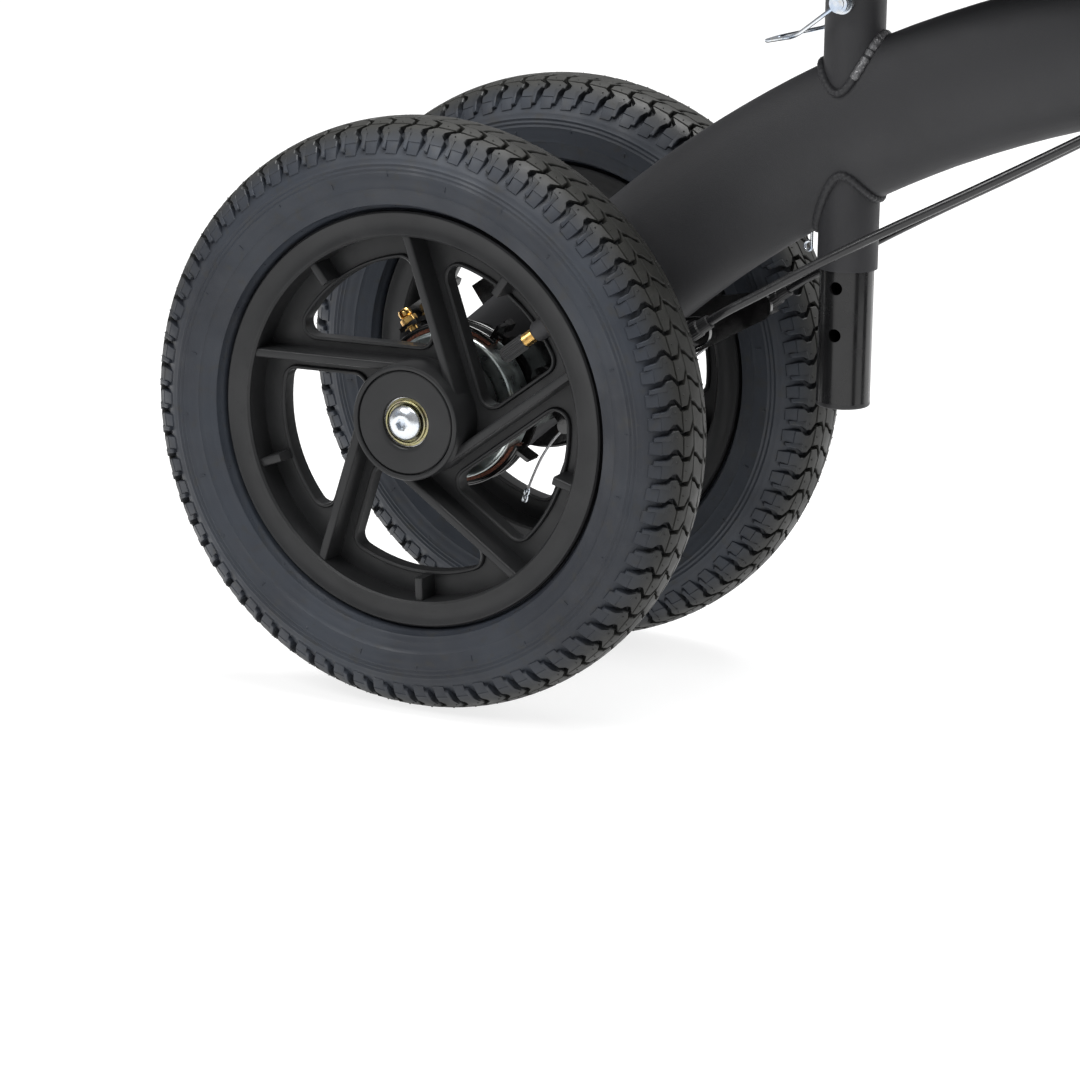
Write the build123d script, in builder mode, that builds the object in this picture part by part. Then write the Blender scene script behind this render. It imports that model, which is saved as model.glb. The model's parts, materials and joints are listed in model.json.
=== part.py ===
from build123d import *
import os
from math import acos, asin, cos, degrees, radians, sin, sqrt

# An all-terrain knee scooter: four 12 1/2 inch pneumatic wheels, a curved elliptical main beam,
# a pinned knee-pad post, a folding and telescoping tiller, and a band brake on each rear wheel.
# The origin is on the ground under the middle of the scooter; +X is forward, +Y left, +Z up.

os.makedirs("parts", exist_ok=True)

# ---------------------------------------------------------------- driving dimensions, mm
tyre_radius = 159.0            # 62-203 tyre, 318 mm over the knobs
tyre_half_width = 28.5
wheelbase = 650.0
rear_track = 170.5
front_track = 330.0
rear_x = -wheelbase / 2
front_x = wheelbase / 2
axle_z = tyre_radius

rim_radius = 111.5             # over the rim flanges
rim_half_width = 20.3
rim_wall_radius = 98.0         # inner face of the rim's round wall
rim_bed_radius = 101.5
flange_inner_w = 14.8
window_radius = 84.5
window_corner = 6.5
web_half = 3.0
hub_radius = 31.2
hub_outer_w = 26.1
hub_inner_w = -22.0
spoke_count = 5
spoke_end_angle = 20.8
spoke_offset = 27.5            # from the wheel's centre to a spoke's middle line
spoke_width = 19.0
spoke_rib = 5.0
spoke_rib_outer_w = 18.5
spoke_rib_inner_w = -16.0
gusset_height = 14.0
gusset_inner = window_radius + 1.5
valve_angle = 38.0
valve_w = 7.5

shaft_radius = 6.0
bearing_radius = 14.0
bearing_width = 8.0
running_gap = 0.05             # radial, bearing on its shaft
seal_radius = 27.6
seal_bore = 13.5
axle_bolt_radius = 9.5
axle_washer_radius = 12.5

beam_half_height = 38.0        # elliptical tube 76 x 38
beam_half_width = 19.0
beam_wall = 2.5
beam_arc_radius = 619.7
beam_arc_x = rear_x + 494.2    # the beam is level from here forward
beam_arc_z = axle_z - 387.9
beam_straight_x = rear_x + 86.0
beam_tail = 38.0               # past the rear axle
axle_tube_radius = 17.0
axle_tube_half = 36.8

post_x = rear_x + 201.7
post_radius = 14.3             # 28.6 mm tube
post_wall = 1.8
sleeve_radius = 15.9           # 31.8 mm tube
sleeve_bore = 14.45
sleeve_bottom = axle_z + 86.0
sleeve_top = axle_z + 245.0
post_bottom = axle_z + 15.0
post_top = axle_z + 275.0
post_hole_pitch = 25.0
post_hole_radius = 3.5
post_lowest_hole = axle_z + 52.0
post_hole_count = 9
pin_z = post_lowest_hole + 7 * post_hole_pitch
pin_radius = 3.2

head_tube_radius = 22.0
head_tube_bore = 17.0
head_tube_bottom = 330.0
head_tube_top = 470.0
cup_flange = 4.0
steerer_radius = 14.3
column_radius = 19.0
cross_tube_radius = 16.0
cross_tube_half = 140.0

hinge_z = 505.0
hinge_pin_radius = 4.0
tongue_half = 14.6
ear_thickness = 6.0
tiller_radius = 19.0
tiller_bore = 16.2
tiller_bottom = hinge_z + 20.0
tiller_top = 780.0
stem_radius = 15.9
stem_bottom = 620.0
bar_z = 925.0
bar_radius = 11.1              # 22.2 mm handlebar
bar_half = 258.0
grip_inner_y = 135.0
grip_radius = 16.5

drum_radius = 40.0
drum_inner_y = 45.0
band_inner_y = 46.0
band_width = 12.0
lining_thickness = 2.2
band_thickness = 1.4
backplate_y = 37.0
backplate_thickness = 3.0
band_gap_low = -28.0           # degrees, where the brake band starts and ends
band_gap_high = 58.0
arm_pivot = (48.0, 17.0)       # brake arm's pivot, forward of and above the rear axle
arm_pinch = (65.0, -5.4)
brake_y = 50.0
cable_radius = 2.5
cable_stop = (134.0, 51.0)
cable_stop_angle = 35.5


def write_piece(piece, name):
    """Label a finished piece and write it as a node of its own."""
    piece.label = name
    export_step(piece, f"parts/{name}.step")


def rear_point(x, y, z):
    """A point given from the middle of the rear axle."""
    return Vector(rear_x + x, y, axle_z + z)


def side_plane(x, z, y=0.0):
    """A plane facing the scooter's right side, with its own x forward and its own y up."""
    return Plane(origin=(x, -y, z), x_dir=(1, 0, 0), z_dir=(0, -1, 0))


def ring_section(inner, outer, low, high):
    """Half section of a ring, in a sketch whose x is the radius and y the axis."""
    with Locations(((inner + outer) / 2, (low + high) / 2)):
        Rectangle(outer - inner, high - low)


# ---------------------------------------------------------------- wheel, in its own frame
# The wheel's own axis is +Z and points outboard; z = 0 is its middle plane.
spoke_start = spoke_end_angle - degrees(acos((spoke_offset + 0.5) / rim_wall_radius))
rib_reach = rim_wall_radius + 1.0
valve_out = Vector(cos(radians(valve_angle)), sin(radians(valve_angle)), 0)
valve_hole_radius = 4.4

with BuildPart() as tyre:
    with BuildSketch(Plane.XZ):
        with BuildLine():
            ThreePointArc((153.8, -18.6), (tyre_radius, 0), (153.8, 18.6))
            ThreePointArc((150.0, -14.0), (154.0, 0), (150.0, 14.0))
            for side in (1, -1):
                ThreePointArc((153.8, side * 18.6), (145.0, side * 25.6), (131.0, side * tyre_half_width))
                ThreePointArc((131.0, side * tyre_half_width), (119.0, side * 25.6), (112.6, side * 15.2))
                Polyline((112.6, side * 15.2), (111.6, side * 14.6), (101.7, side * 14.6),
                         (101.7, side * 11.8), (112.0, side * 12.2))
                ThreePointArc((112.0, side * 12.2), (120.5, side * 20.0), (131.0, side * 24.5))
                ThreePointArc((131.0, side * 24.5), (142.5, side * 21.4), (150.0, side * 14.0))
        make_face()
    revolve(axis=Axis.Z)

with BuildPart() as inner_tube:
    with BuildSketch(Plane.XZ):
        with Locations((129.5, 0)):
            Circle(20.5)
            Circle(19.0, mode=Mode.SUBTRACT)
    revolve(axis=Axis.Z)
    with BuildSketch(Plane(origin=(0, 0, valve_w), x_dir=(0, 0, 1), z_dir=Vector(0, 0, 1).cross(valve_out))):
        for inner, outer, radius in ((61, 73, 4.4), (72.5, 89, 3.4), (88, 111, 4.2)):
            with Locations((radius / 2, inner + (outer - inner) / 2)):
                Rectangle(radius, outer - inner)
    revolve(axis=Axis((0, 0, valve_w), valve_out))

with BuildSketch() as spoke_windows:
    Circle(window_radius)
    Circle(hub_radius, mode=Mode.SUBTRACT)
    with PolarLocations(spoke_offset, spoke_count, start_angle=spoke_start):
        with Locations((0, rim_wall_radius / 2 - 5)):
            Rectangle(spoke_width, rim_wall_radius + 10, mode=Mode.SUBTRACT)
    fillet(spoke_windows.vertices(), window_corner)

with BuildPart() as rim:
    with BuildSketch(Plane.XZ):
        with BuildLine():
            Polyline((rim_wall_radius, -rim_half_width), (rim_radius, -rim_half_width),
                     (rim_radius, -flange_inner_w), (rim_bed_radius, -flange_inner_w),
                     (rim_bed_radius, flange_inner_w), (rim_radius, flange_inner_w),
                     (rim_radius, rim_half_width), (rim_wall_radius, rim_half_width), close=True)
        make_face()
    revolve(axis=Axis.Z)
    with BuildSketch(Plane.XY.offset(-web_half)):
        Circle(rib_reach)
        add(spoke_windows.sketch, mode=Mode.SUBTRACT)
    extrude(amount=2 * web_half)
    with BuildSketch(Plane.XY.offset(hub_inner_w)):
        Circle(hub_radius)
    extrude(amount=hub_outer_w - hub_inner_w)
    for start_w, end_w in ((web_half, spoke_rib_outer_w), (spoke_rib_inner_w, -web_half)):
        with BuildSketch(Plane.XY.offset(start_w)):
            with PolarLocations(spoke_offset + 0.5, spoke_count, start_angle=spoke_start):
                with Locations((0, rim_wall_radius / 2)):
                    Rectangle(spoke_rib, rim_wall_radius)
            Circle(rib_reach, mode=Mode.INTERSECT)
        extrude(amount=end_w - start_w)
    with BuildSketch(Plane.XY.offset(web_half)):
        with PolarLocations((gusset_inner + rib_reach) / 2, spoke_count,
                            start_angle=spoke_end_angle + 180 / spoke_count):
            Rectangle(rib_reach - gusset_inner, spoke_rib)
    extrude(amount=gusset_height)
    with BuildSketch(Plane.XZ):
        ring_section(0, 9.0, hub_inner_w, hub_outer_w)
        ring_section(0, bearing_radius, hub_inner_w, -11.0)
        ring_section(0, bearing_radius, 15.0, hub_outer_w)
        ring_section(0, seal_radius + 0.5, 23.1, hub_outer_w)
    revolve(axis=Axis.Z, mode=Mode.SUBTRACT)
    hole_start = valve_out * (rim_wall_radius - 4) + Vector(0, 0, valve_w)
    with BuildSketch(Plane(origin=hole_start, z_dir=valve_out)):
        Circle(valve_hole_radius)
    extrude(amount=12, mode=Mode.SUBTRACT)

with BuildPart() as bearings:
    with BuildSketch(Plane.XZ):
        for low in (15.0, -19.0):
            ring_section(shaft_radius + running_gap, bearing_radius, low, low + bearing_width)
            for face_w in (low + 0.25, low + bearing_width - 0.25):
                with Locations(((8.6 + 11.8) / 2, face_w)):
                    Rectangle(11.8 - 8.6, 0.5, mode=Mode.SUBTRACT)
    revolve(axis=Axis.Z)

with BuildPart() as hub_seal:
    with BuildSketch(Plane.XZ):
        ring_section(seal_bore, seal_radius, 23.1, 25.7)
    revolve(axis=Axis.Z)
    chamfer(hub_seal.edges().filter_by(GeomType.CIRCLE).group_by(Axis.Z)[-1], 0.5)

with BuildPart() as brake_drum:
    wheel_y = rear_track / 2
    with BuildSketch(Plane.XZ):
        ring_section(11.0, drum_radius, hub_inner_w - 3.0, hub_inner_w)
        ring_section(drum_radius - 3.5, drum_radius, drum_inner_y - wheel_y, hub_inner_w)
    revolve(axis=Axis.Z)
    with BuildSketch(Plane.XY.offset(hub_inner_w)):
        with PolarLocations(25.5, 4, start_angle=45):
            SlotOverall(14, 6, rotation=90)
    extrude(amount=-3.0, mode=Mode.SUBTRACT)
    fillet(brake_drum.edges().filter_by(GeomType.CIRCLE).group_by(Axis.Z)[-1].sort_by(SortBy.RADIUS)[-1], 2.0)

with BuildPart() as axle_washer:
    with BuildSketch(Plane.XZ):
        ring_section(5.2, axle_washer_radius, 23.2, 25.0)
    revolve(axis=Axis.Z)

with BuildPart() as axle_bolt:
    with BuildSketch():
        Circle(5.0)
    extrude(amount=25.0)
    with BuildSketch(Plane.XY.offset(25.0)):
        Circle(axle_bolt_radius)
    extrude(amount=5.0)
    fillet(axle_bolt.edges().group_by(Axis.Z)[-1], 4.2)
    with BuildSketch(Plane.XY.offset(31.0)):
        RegularPolygon(3.4, 6)
    extrude(amount=-4.4, mode=Mode.SUBTRACT)

wheel_places = {
    "rear_right": (rear_x, -1, rear_track),
    "rear_left": (rear_x, 1, rear_track),
    "front_right": (front_x, -1, front_track),
    "front_left": (front_x, 1, front_track),
}


def wheel_location(wheel):
    """Where a wheel's own frame stands: outboard is away from the scooter's middle."""
    x, side, track = wheel_places[wheel]
    return Plane(origin=(x, side * track / 2, axle_z), x_dir=(1, 0, 0), z_dir=(0, side, 0)).location


for wheel in wheel_places:
    place = wheel_location(wheel)
    for piece, name in ((tyre, "tyre"), (inner_tube, "inner_tube"), (rim, "rim"),
                        (bearings, "bearings"), (hub_seal, "hub_seal")):
        write_piece(place * piece.part, f"{wheel}_{name}")
    if wheel.startswith("rear"):
        write_piece(place * brake_drum.part, f"{wheel}_brake_drum")

with BuildPart() as rear_axle_bolts:
    for wheel in ("rear_right", "rear_left"):
        add(wheel_location(wheel) * axle_bolt.part)
write_piece(rear_axle_bolts.part, "rear_axle_bolts")

with BuildPart() as rear_axle_washers:
    for wheel in ("rear_right", "rear_left"):
        add(wheel_location(wheel) * axle_washer.part)
write_piece(rear_axle_washers.part, "rear_axle_washers")

with BuildPart() as front_axle_bolts:
    for wheel in ("front_right", "front_left"):
        add(wheel_location(wheel) * axle_bolt.part)
        add(wheel_location(wheel) * axle_washer.part)
write_piece(front_axle_bolts.part, "front_axle_bolts")

# ---------------------------------------------------------------- frame
rise_angle = asin((beam_arc_x - beam_straight_x) / beam_arc_radius)
beam_straight_z = beam_arc_z + beam_arc_radius * cos(rise_angle)
rise = Vector(cos(rise_angle), 0, sin(rise_angle))
straight_start = Vector(beam_straight_x, 0, beam_straight_z)
tail_length = (straight_start - Vector(rear_x, 0, axle_z)).dot(rise) + beam_tail
tail_start = straight_start - rise * tail_length
level_z = beam_arc_z + beam_arc_radius
tail_plane = Plane(origin=tail_start, x_dir=(0, 1, 0), z_dir=rise)


def beam_centre_z(x):
    """Height of the beam's middle line on its arc."""
    return beam_arc_z + sqrt(beam_arc_radius ** 2 - (beam_arc_x - x) ** 2)


def bend_radii(points):
    """The largest even bend at each inner point of a route."""
    radii = []
    for before, here, after in zip(points, points[1:], points[2:]):
        turn = radians((here - before).get_angle(after - here))
        shorter = min((here - before).length, (after - here).length)
        radii.append(0.45 * shorter / (sin(turn / 2) / cos(turn / 2)))
    return radii


arc_middle_x = (beam_straight_x + beam_arc_x) / 2
arc_middle = (arc_middle_x, 0, beam_centre_z(arc_middle_x))

# The two brake cables come out of the beam here and run back to the brake backplates.
cable_route = [(418, 6, 214), (395, 10, 203), (318, 22, 158.7), (279, 31.5, 136.9), (238, 39, 114.8),
               (202, 44, 94.4), (172, 47.5, 75.9)]
stop_dir = Vector(cos(radians(cable_stop_angle)), 0, sin(radians(cable_stop_angle)))
cable_stop_point = rear_point(cable_stop[0], -brake_y, cable_stop[1])
cable_points = [rear_point(x, -y, z) for x, y, z in cable_route]
cable_points += [cable_stop_point + stop_dir * 25.0, cable_stop_point + stop_dir * 9.0]
cable_radii = bend_radii(cable_points)
print("brake cable bend radii:", [round(r) for r in cable_radii])
grommet_dir = (cable_points[1] - cable_points[2]).normalized()
grommet_plane = Plane(origin=cable_points[1] - grommet_dir * 22.0, z_dir=grommet_dir)
cable_hole = cable_radius + 2.0

with BuildPart() as main_beam:
    with BuildLine() as beam_line:
        Line(tail_start, straight_start)
        ThreePointArc(straight_start, arc_middle, (beam_arc_x, 0, level_z))
        Line((beam_arc_x, 0, level_z), (front_x, 0, level_z))
    with BuildSketch(tail_plane):
        Ellipse(beam_half_width, beam_half_height)
    sweep(path=beam_line.line)
    with BuildSketch(tail_plane):
        Ellipse(beam_half_width - beam_wall, beam_half_height - beam_wall)
    sweep(path=beam_line.line, mode=Mode.SUBTRACT)
    with BuildSketch(tail_plane):
        Ellipse(beam_half_width, beam_half_height)
    extrude(amount=beam_wall)
    with BuildSketch(side_plane(rear_x, axle_z, -axle_tube_half)):
        Circle(axle_tube_radius)
    extrude(amount=2 * axle_tube_half)
    with BuildSketch(side_plane(rear_x, axle_z, -axle_tube_half)):
        Circle(shaft_radius)
    extrude(amount=2 * axle_tube_half, mode=Mode.SUBTRACT)
    with BuildSketch(Plane.XY.offset(axle_z)):
        with Locations((post_x, 0)):
            Circle(sleeve_radius)
        with Locations((front_x, 0)):
            Circle(head_tube_radius)
    extrude(amount=400, mode=Mode.SUBTRACT)
    with BuildSketch(grommet_plane.offset(-24)):
        Circle(cable_hole)
    hole = extrude(amount=44, mode=Mode.SUBTRACT)
    mirror(hole, about=Plane.XZ, mode=Mode.SUBTRACT)
write_piece(main_beam.part, "main_beam")

with BuildPart() as seat_sleeve:
    with BuildSketch(Plane.XY.offset(sleeve_bottom)):
        with Locations((post_x, 0)):
            Circle(sleeve_radius)
            Circle(sleeve_bore, mode=Mode.SUBTRACT)
    extrude(amount=sleeve_top - sleeve_bottom)
    with BuildSketch(side_plane(post_x, pin_z, -sleeve_radius - 1)):
        Circle(pin_radius)
    extrude(amount=2 * sleeve_radius + 2, mode=Mode.SUBTRACT)
write_piece(seat_sleeve.part, "seat_sleeve")

with BuildPart() as head_tube:
    with BuildSketch(Plane.XY.offset(head_tube_bottom)):
        with Locations((front_x, 0)):
            Circle(head_tube_radius)
            Circle(head_tube_bore, mode=Mode.SUBTRACT)
    extrude(amount=head_tube_top - head_tube_bottom)
write_piece(head_tube.part, "head_tube")

with BuildPart() as headset_bearings:
    with BuildSketch(Plane(origin=(front_x, 0, 0), x_dir=(1, 0, 0), z_dir=(0, -1, 0))):
        bore = steerer_radius + running_gap
        for face_z, way in ((head_tube_bottom, 1), (head_tube_top, -1)):
            seat_end = face_z + way * 10
            flange_end = face_z - way * cup_flange
            ring_section(bore, head_tube_bore, min(face_z, seat_end), max(face_z, seat_end))
            ring_section(bore, head_tube_radius, min(face_z, flange_end), max(face_z, flange_end))
    revolve(axis=Axis((front_x, 0, 0), (0, 0, 1)))
write_piece(headset_bearings.part, "headset_bearings")

shaft_half = rear_track / 2 + 23.2
with BuildPart() as rear_axle_shaft:
    with BuildSketch(side_plane(rear_x, axle_z, -shaft_half)):
        Circle(shaft_radius)
    extrude(amount=2 * shaft_half)
    with BuildSketch(side_plane(rear_x, axle_z, shaft_half)):
        Circle(5.0)
    socket = extrude(amount=-26, mode=Mode.SUBTRACT)
    mirror(socket, about=Plane.XZ, mode=Mode.SUBTRACT)
    with BuildSketch(side_plane(rear_x, axle_z, backplate_y + backplate_thickness)):
        Circle(9.0)
        Circle(shaft_radius, mode=Mode.SUBTRACT)
    spacer = extrude(amount=25.7)
    mirror(spacer, about=Plane.XZ)
write_piece(rear_axle_shaft.part, "rear_axle_shaft")

with BuildPart() as cable_guides:
    with BuildSketch(grommet_plane.offset(-7)):
        Circle(cable_hole)
        Circle(cable_radius, mode=Mode.SUBTRACT)
    grommet = extrude(amount=11)
    mirror(grommet, about=Plane.XZ)
    hook_top = rear_point(181, 0, 104)
    with BuildLine() as hook_line:
        hook_drop = Line(hook_top, hook_top - Vector(0, 0, 11))
        hook_low = hook_drop @ 1
        ThreePointArc(hook_low, hook_low + Vector(-2.6, 0, -2.6), hook_low + Vector(-5.2, 0, 0))
    with BuildSketch(Plane(origin=hook_top, x_dir=(1, 0, 0), z_dir=(0, 0, -1))):
        Circle(0.9)
    sweep(path=hook_line.line)
write_piece(cable_guides.part, "cable_guides")

# ---------------------------------------------------------------- rear brakes
lug_plane = Plane(origin=cable_stop_point, x_dir=(0, 1, 0), z_dir=stop_dir)

with BuildPart() as brake_backplates:
    with BuildSketch(side_plane(rear_x, axle_z, backplate_y)):
        with BuildSketch(mode=Mode.PRIVATE) as arm_outline:
            Circle(30)
            with Locations(cable_stop):
                Circle(8)
            make_hull()
        add(arm_outline.sketch)
        Circle(42)
        with Locations(arm_pivot):
            Circle(10)
        Circle(shaft_radius, mode=Mode.SUBTRACT)
    extrude(amount=backplate_thickness)
    with BuildSketch(side_plane(rear_x, axle_z, backplate_y)):
        with Locations(arm_pivot):
            Circle(3.0)
    extrude(amount=17)
    with BuildSketch(lug_plane.offset(-1.5)):
        with Locations((4, 0)):
            Rectangle(18, 14)
        Circle(3.0, mode=Mode.SUBTRACT)
    extrude(amount=3)
    with BuildSketch(side_plane(rear_x, axle_z, backplate_y)):
        with PolarLocations(49.5, 1, start_angle=126):
            Rectangle(18, 12)
    extrude(amount=backplate_thickness)
    anchor_out = Vector(cos(radians(126)), 0, sin(radians(126)))
    anchor_foot = rear_point(0, -52, 0) + anchor_out * 47
    with BuildSketch(Plane(origin=anchor_foot, x_dir=(0, 1, 0), z_dir=anchor_out)):
        with Locations((5.5, 0)):
            Rectangle(19, 12)
        Circle(2.4, mode=Mode.SUBTRACT)
    extrude(amount=2.5)
    mirror(about=Plane.XZ)
write_piece(brake_backplates.part, "brake_backplates")


def band_section(inner, outer):
    """An open band round the rear axle, leaving the brake arm's gap."""
    with BuildSketch(side_plane(rear_x, axle_z, band_inner_y)) as section:
        with BuildLine():
            middle = (band_gap_high + band_gap_low + 360) / 2
            ends = [Vector(r * cos(radians(a)), r * sin(radians(a)))
                    for r, a in ((inner, band_gap_high), (inner, middle), (inner, band_gap_low),
                                 (outer, band_gap_low), (outer, middle), (outer, band_gap_high))]
            ThreePointArc(*ends[:3])
            Line(ends[2], ends[3])
            ThreePointArc(*ends[3:])
            Line(ends[5], ends[0])
        make_face()
    return section.sketch


lining_inner = drum_radius + 0.4
band_inner = lining_inner + lining_thickness
band_outer = band_inner + band_thickness

with BuildPart() as brake_linings:
    extrude(band_section(lining_inner, band_inner), amount=band_width)
    mirror(about=Plane.XZ)
write_piece(brake_linings.part, "brake_linings")

with BuildPart() as brake_bands:
    extrude(band_section(band_inner, band_outer), amount=band_width)
    with BuildSketch(side_plane(rear_x, axle_z, band_inner_y)):
        for angle in (band_gap_low, band_gap_high):
            inward = 1 if angle == band_gap_high else -1
            with PolarLocations(band_inner + 5, 1, start_angle=angle + inward * 1.2):
                Rectangle(10, 2)
    extrude(amount=band_width)
    with BuildSketch(side_plane(rear_x, axle_z, backplate_y + backplate_thickness)):
        with PolarLocations(band_inner + 7.5, 1, start_angle=band_gap_high + 1.2):
            Rectangle(5, 4)
    extrude(amount=band_inner_y - backplate_y - backplate_thickness + 2)
    mirror(about=Plane.XZ)
write_piece(brake_bands.part, "brake_bands")

with BuildPart() as brake_adjusters:
    with BuildSketch(Plane(origin=rear_point(0, -52, 0) + anchor_out * 49.5, z_dir=anchor_out)):
        RegularPolygon(4.6, 6)
    extrude(amount=3.5)
    with BuildSketch(Plane(origin=rear_point(0, -52, 0) + anchor_out * 44.4, z_dir=anchor_out)):
        Circle(2.4)
    extrude(amount=11)
    with BuildSketch(Plane(origin=rear_point(0, -52, 0) + anchor_out * 54, z_dir=anchor_out)):
        Circle(3.9)
    extrude(amount=4)
    with BuildSketch(lug_plane.offset(-8)):
        Circle(3.0)
    extrude(amount=12)
    with BuildSketch(lug_plane.offset(1.5)):
        Circle(4.6)
    extrude(amount=14)
    with BuildSketch(lug_plane.offset(9)):
        Circle(cable_radius)
    extrude(amount=6.5, mode=Mode.SUBTRACT)
    with BuildSketch(lug_plane.offset(-8)):
        Circle(0.9)
    extrude(amount=17, mode=Mode.SUBTRACT)
    mirror(about=Plane.XZ)
write_piece(brake_adjusters.part, "brake_adjusters")

with BuildPart() as brake_cables:
    with BuildLine() as cable_line:
        FilletPolyline(*cable_points, radius=cable_radii)
    with BuildSketch(Plane(origin=cable_points[0], z_dir=cable_points[1] - cable_points[0])):
        Circle(cable_radius)
    sweep(path=cable_line.line)
    mirror(about=Plane.XZ)
write_piece(brake_cables.part, "brake_cables")

wire_radius = 0.75
wire_points = [cable_stop_point + stop_dir * 8.9, cable_stop_point - stop_dir * 16,
               rear_point(arm_pinch[0], -brake_y, arm_pinch[1]), rear_point(52, -brake_y, -20.5),
               rear_point(44, -brake_y, -38), rear_point(40.5, -brake_y, -49.5)]
wire_out = (wire_points[1] - wire_points[2]).normalized()
with BuildPart() as brake_wires:
    with BuildLine() as wire_line:
        FilletPolyline(*wire_points, radius=[150, 24, 60, 60])
    with BuildSketch(Plane(origin=wire_points[0], z_dir=wire_points[1] - wire_points[0])):
        Circle(wire_radius)
    sweep(path=wire_line.line)
    with BuildSketch(Plane(origin=wire_points[-1], z_dir=wire_points[-2] - wire_points[-1])):
        Circle(1.5)
    extrude(amount=8)
    mirror(about=Plane.XZ)
write_piece(brake_wires.part, "brake_wires")

with BuildPart() as brake_arm_right:
    arm_low_y = 44.0
    with BuildSketch(side_plane(rear_x, axle_z, arm_low_y)):
        with Locations(arm_pivot):
            Circle(6.5)
        with Locations(arm_pinch):
            Circle(5.5)
        make_hull()
        with Locations(arm_pivot):
            Circle(3.1, mode=Mode.SUBTRACT)
    extrude(amount=3.0)
    with BuildSketch(side_plane(rear_x, axle_z, arm_low_y - 1.5)):
        with Locations(arm_pinch):
            Circle(4.0)
    extrude(amount=11.5)
    pinch_start = rear_point(arm_pinch[0], -brake_y, arm_pinch[1]) - wire_out * 8
    with BuildSketch(Plane(origin=pinch_start, z_dir=wire_out)):
        Circle(1.6)
    extrude(amount=16, mode=Mode.SUBTRACT)
write_piece(brake_arm_right.part, "brake_arm_right")

with BuildPart() as brake_arm_left:
    mirror(brake_arm_right.part, about=Plane.XZ)
write_piece(brake_arm_left.part, "brake_arm_left")

# ---------------------------------------------------------------- knee-pad post
with BuildPart() as seat_post:
    with BuildSketch(Plane.XY.offset(post_bottom)):
        with Locations((post_x, 0)):
            Circle(post_radius)
            Circle(post_radius - post_wall, mode=Mode.SUBTRACT)
    extrude(amount=post_top - post_bottom)
    with BuildSketch(side_plane(post_x, 0, -post_radius - 1)):
        with Locations(*[(0, post_lowest_hole + i * post_hole_pitch) for i in range(post_hole_count)]):
            Circle(post_hole_radius)
    extrude(amount=2 * post_radius + 2, mode=Mode.SUBTRACT)
write_piece(seat_post.part, "seat_post")

with BuildPart() as post_end_plug:
    with BuildSketch(Plane.XY.offset(post_bottom)):
        with Locations((post_x, 0)):
            Circle(post_radius - post_wall)
    extrude(amount=14)
    with BuildSketch(Plane.XY.offset(post_bottom - 2.5)):
        with Locations((post_x, 0)):
            Circle(post_radius)
    extrude(amount=2.5)
    fillet(post_end_plug.edges().group_by(Axis.Z)[0], 1.2)
write_piece(post_end_plug.part, "post_end_plug")

with BuildPart() as seat_lock_pin:
    pin_half = 24.0
    with BuildSketch(side_plane(post_x, pin_z, -pin_half)):
        Circle(pin_radius)
    extrude(amount=2 * pin_half)
    with BuildSketch(side_plane(post_x, pin_z, sleeve_radius + 0.5)):
        Circle(6.0)
    extrude(amount=2.5)
    with BuildSketch(side_plane(post_x, pin_z, 20.7)):
        Circle(pin_radius + 0.5)
        Circle(2.7, mode=Mode.SUBTRACT)
    groove = extrude(amount=3.2, mode=Mode.SUBTRACT)
    mirror(groove, about=Plane.XZ, mode=Mode.SUBTRACT)
write_piece(seat_lock_pin.part, "seat_lock_pin")

with BuildPart() as lock_bail:
    bail_wire = 1.1
    eye_half = 1.25
    bail_y = 22.3
    bail_back = 47.0
    bail_drop = 25.0
    eye = Vector(post_x, -bail_y, pin_z)
    back = Vector(post_x - bail_back, 0, pin_z - bail_drop)
    shoulder = Vector(post_x - 24, -bail_y, pin_z - 19.0)
    bail_bends = [eye + Vector(-3.1, 0, -2.5), shoulder, back + Vector(0, -9, 0), back + Vector(0, 9, 0),
                  Vector(shoulder.X, bail_y, shoulder.Z), Vector(post_x - 3.1, bail_y, pin_z - 2.5)]
    with BuildLine() as bail_line:
        FilletPolyline(*bail_bends, radius=[16, 7, 7, 16])
    with BuildSketch(Plane(origin=bail_bends[0], z_dir=bail_bends[1] - bail_bends[0])):
        Circle(bail_wire)
    sweep(path=bail_line.line)
    for side in (-1, 1):
        with BuildSketch(side_plane(post_x, pin_z, side * bail_y - eye_half)):
            Circle(5.0)
            Circle(3.0, mode=Mode.SUBTRACT)
        extrude(amount=2 * eye_half)
write_piece(lock_bail.part, "lock_bail")

pad_x = post_x + 20.0
pad_length = 340.0
pad_width = 165.0
bracket_thickness = 4.0
board_thickness = 12.0
pad_height = 58.0

with BuildPart() as pad_bracket:
    with BuildSketch(Plane.XY.offset(post_top)):
        with Locations((post_x + 10, 0)):
            RectangleRounded(150, 90, 12)
        with Locations(*[(post_x + 10 + x, y) for x in (-62, 62) for y in (-33, 33)]):
            Circle(3.2, mode=Mode.SUBTRACT)
    extrude(amount=bracket_thickness)
    with BuildSketch(Plane.XY.offset(post_top)):
        with Locations((post_x, 0)):
            Circle(post_radius + 5)
            Circle(post_radius, mode=Mode.SUBTRACT)
    extrude(amount=-3)
write_piece(pad_bracket.part, "pad_bracket")

board_z = post_top + bracket_thickness
with BuildPart() as pad_board:
    with BuildSketch(Plane.XY.offset(board_z)):
        with Locations((pad_x, 0)):
            RectangleRounded(pad_length - 14, pad_width - 14, 30)
    extrude(amount=board_thickness)
    fillet(pad_board.edges().group_by(Axis.Z)[0], 3)
write_piece(pad_board.part, "pad_board")

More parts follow.
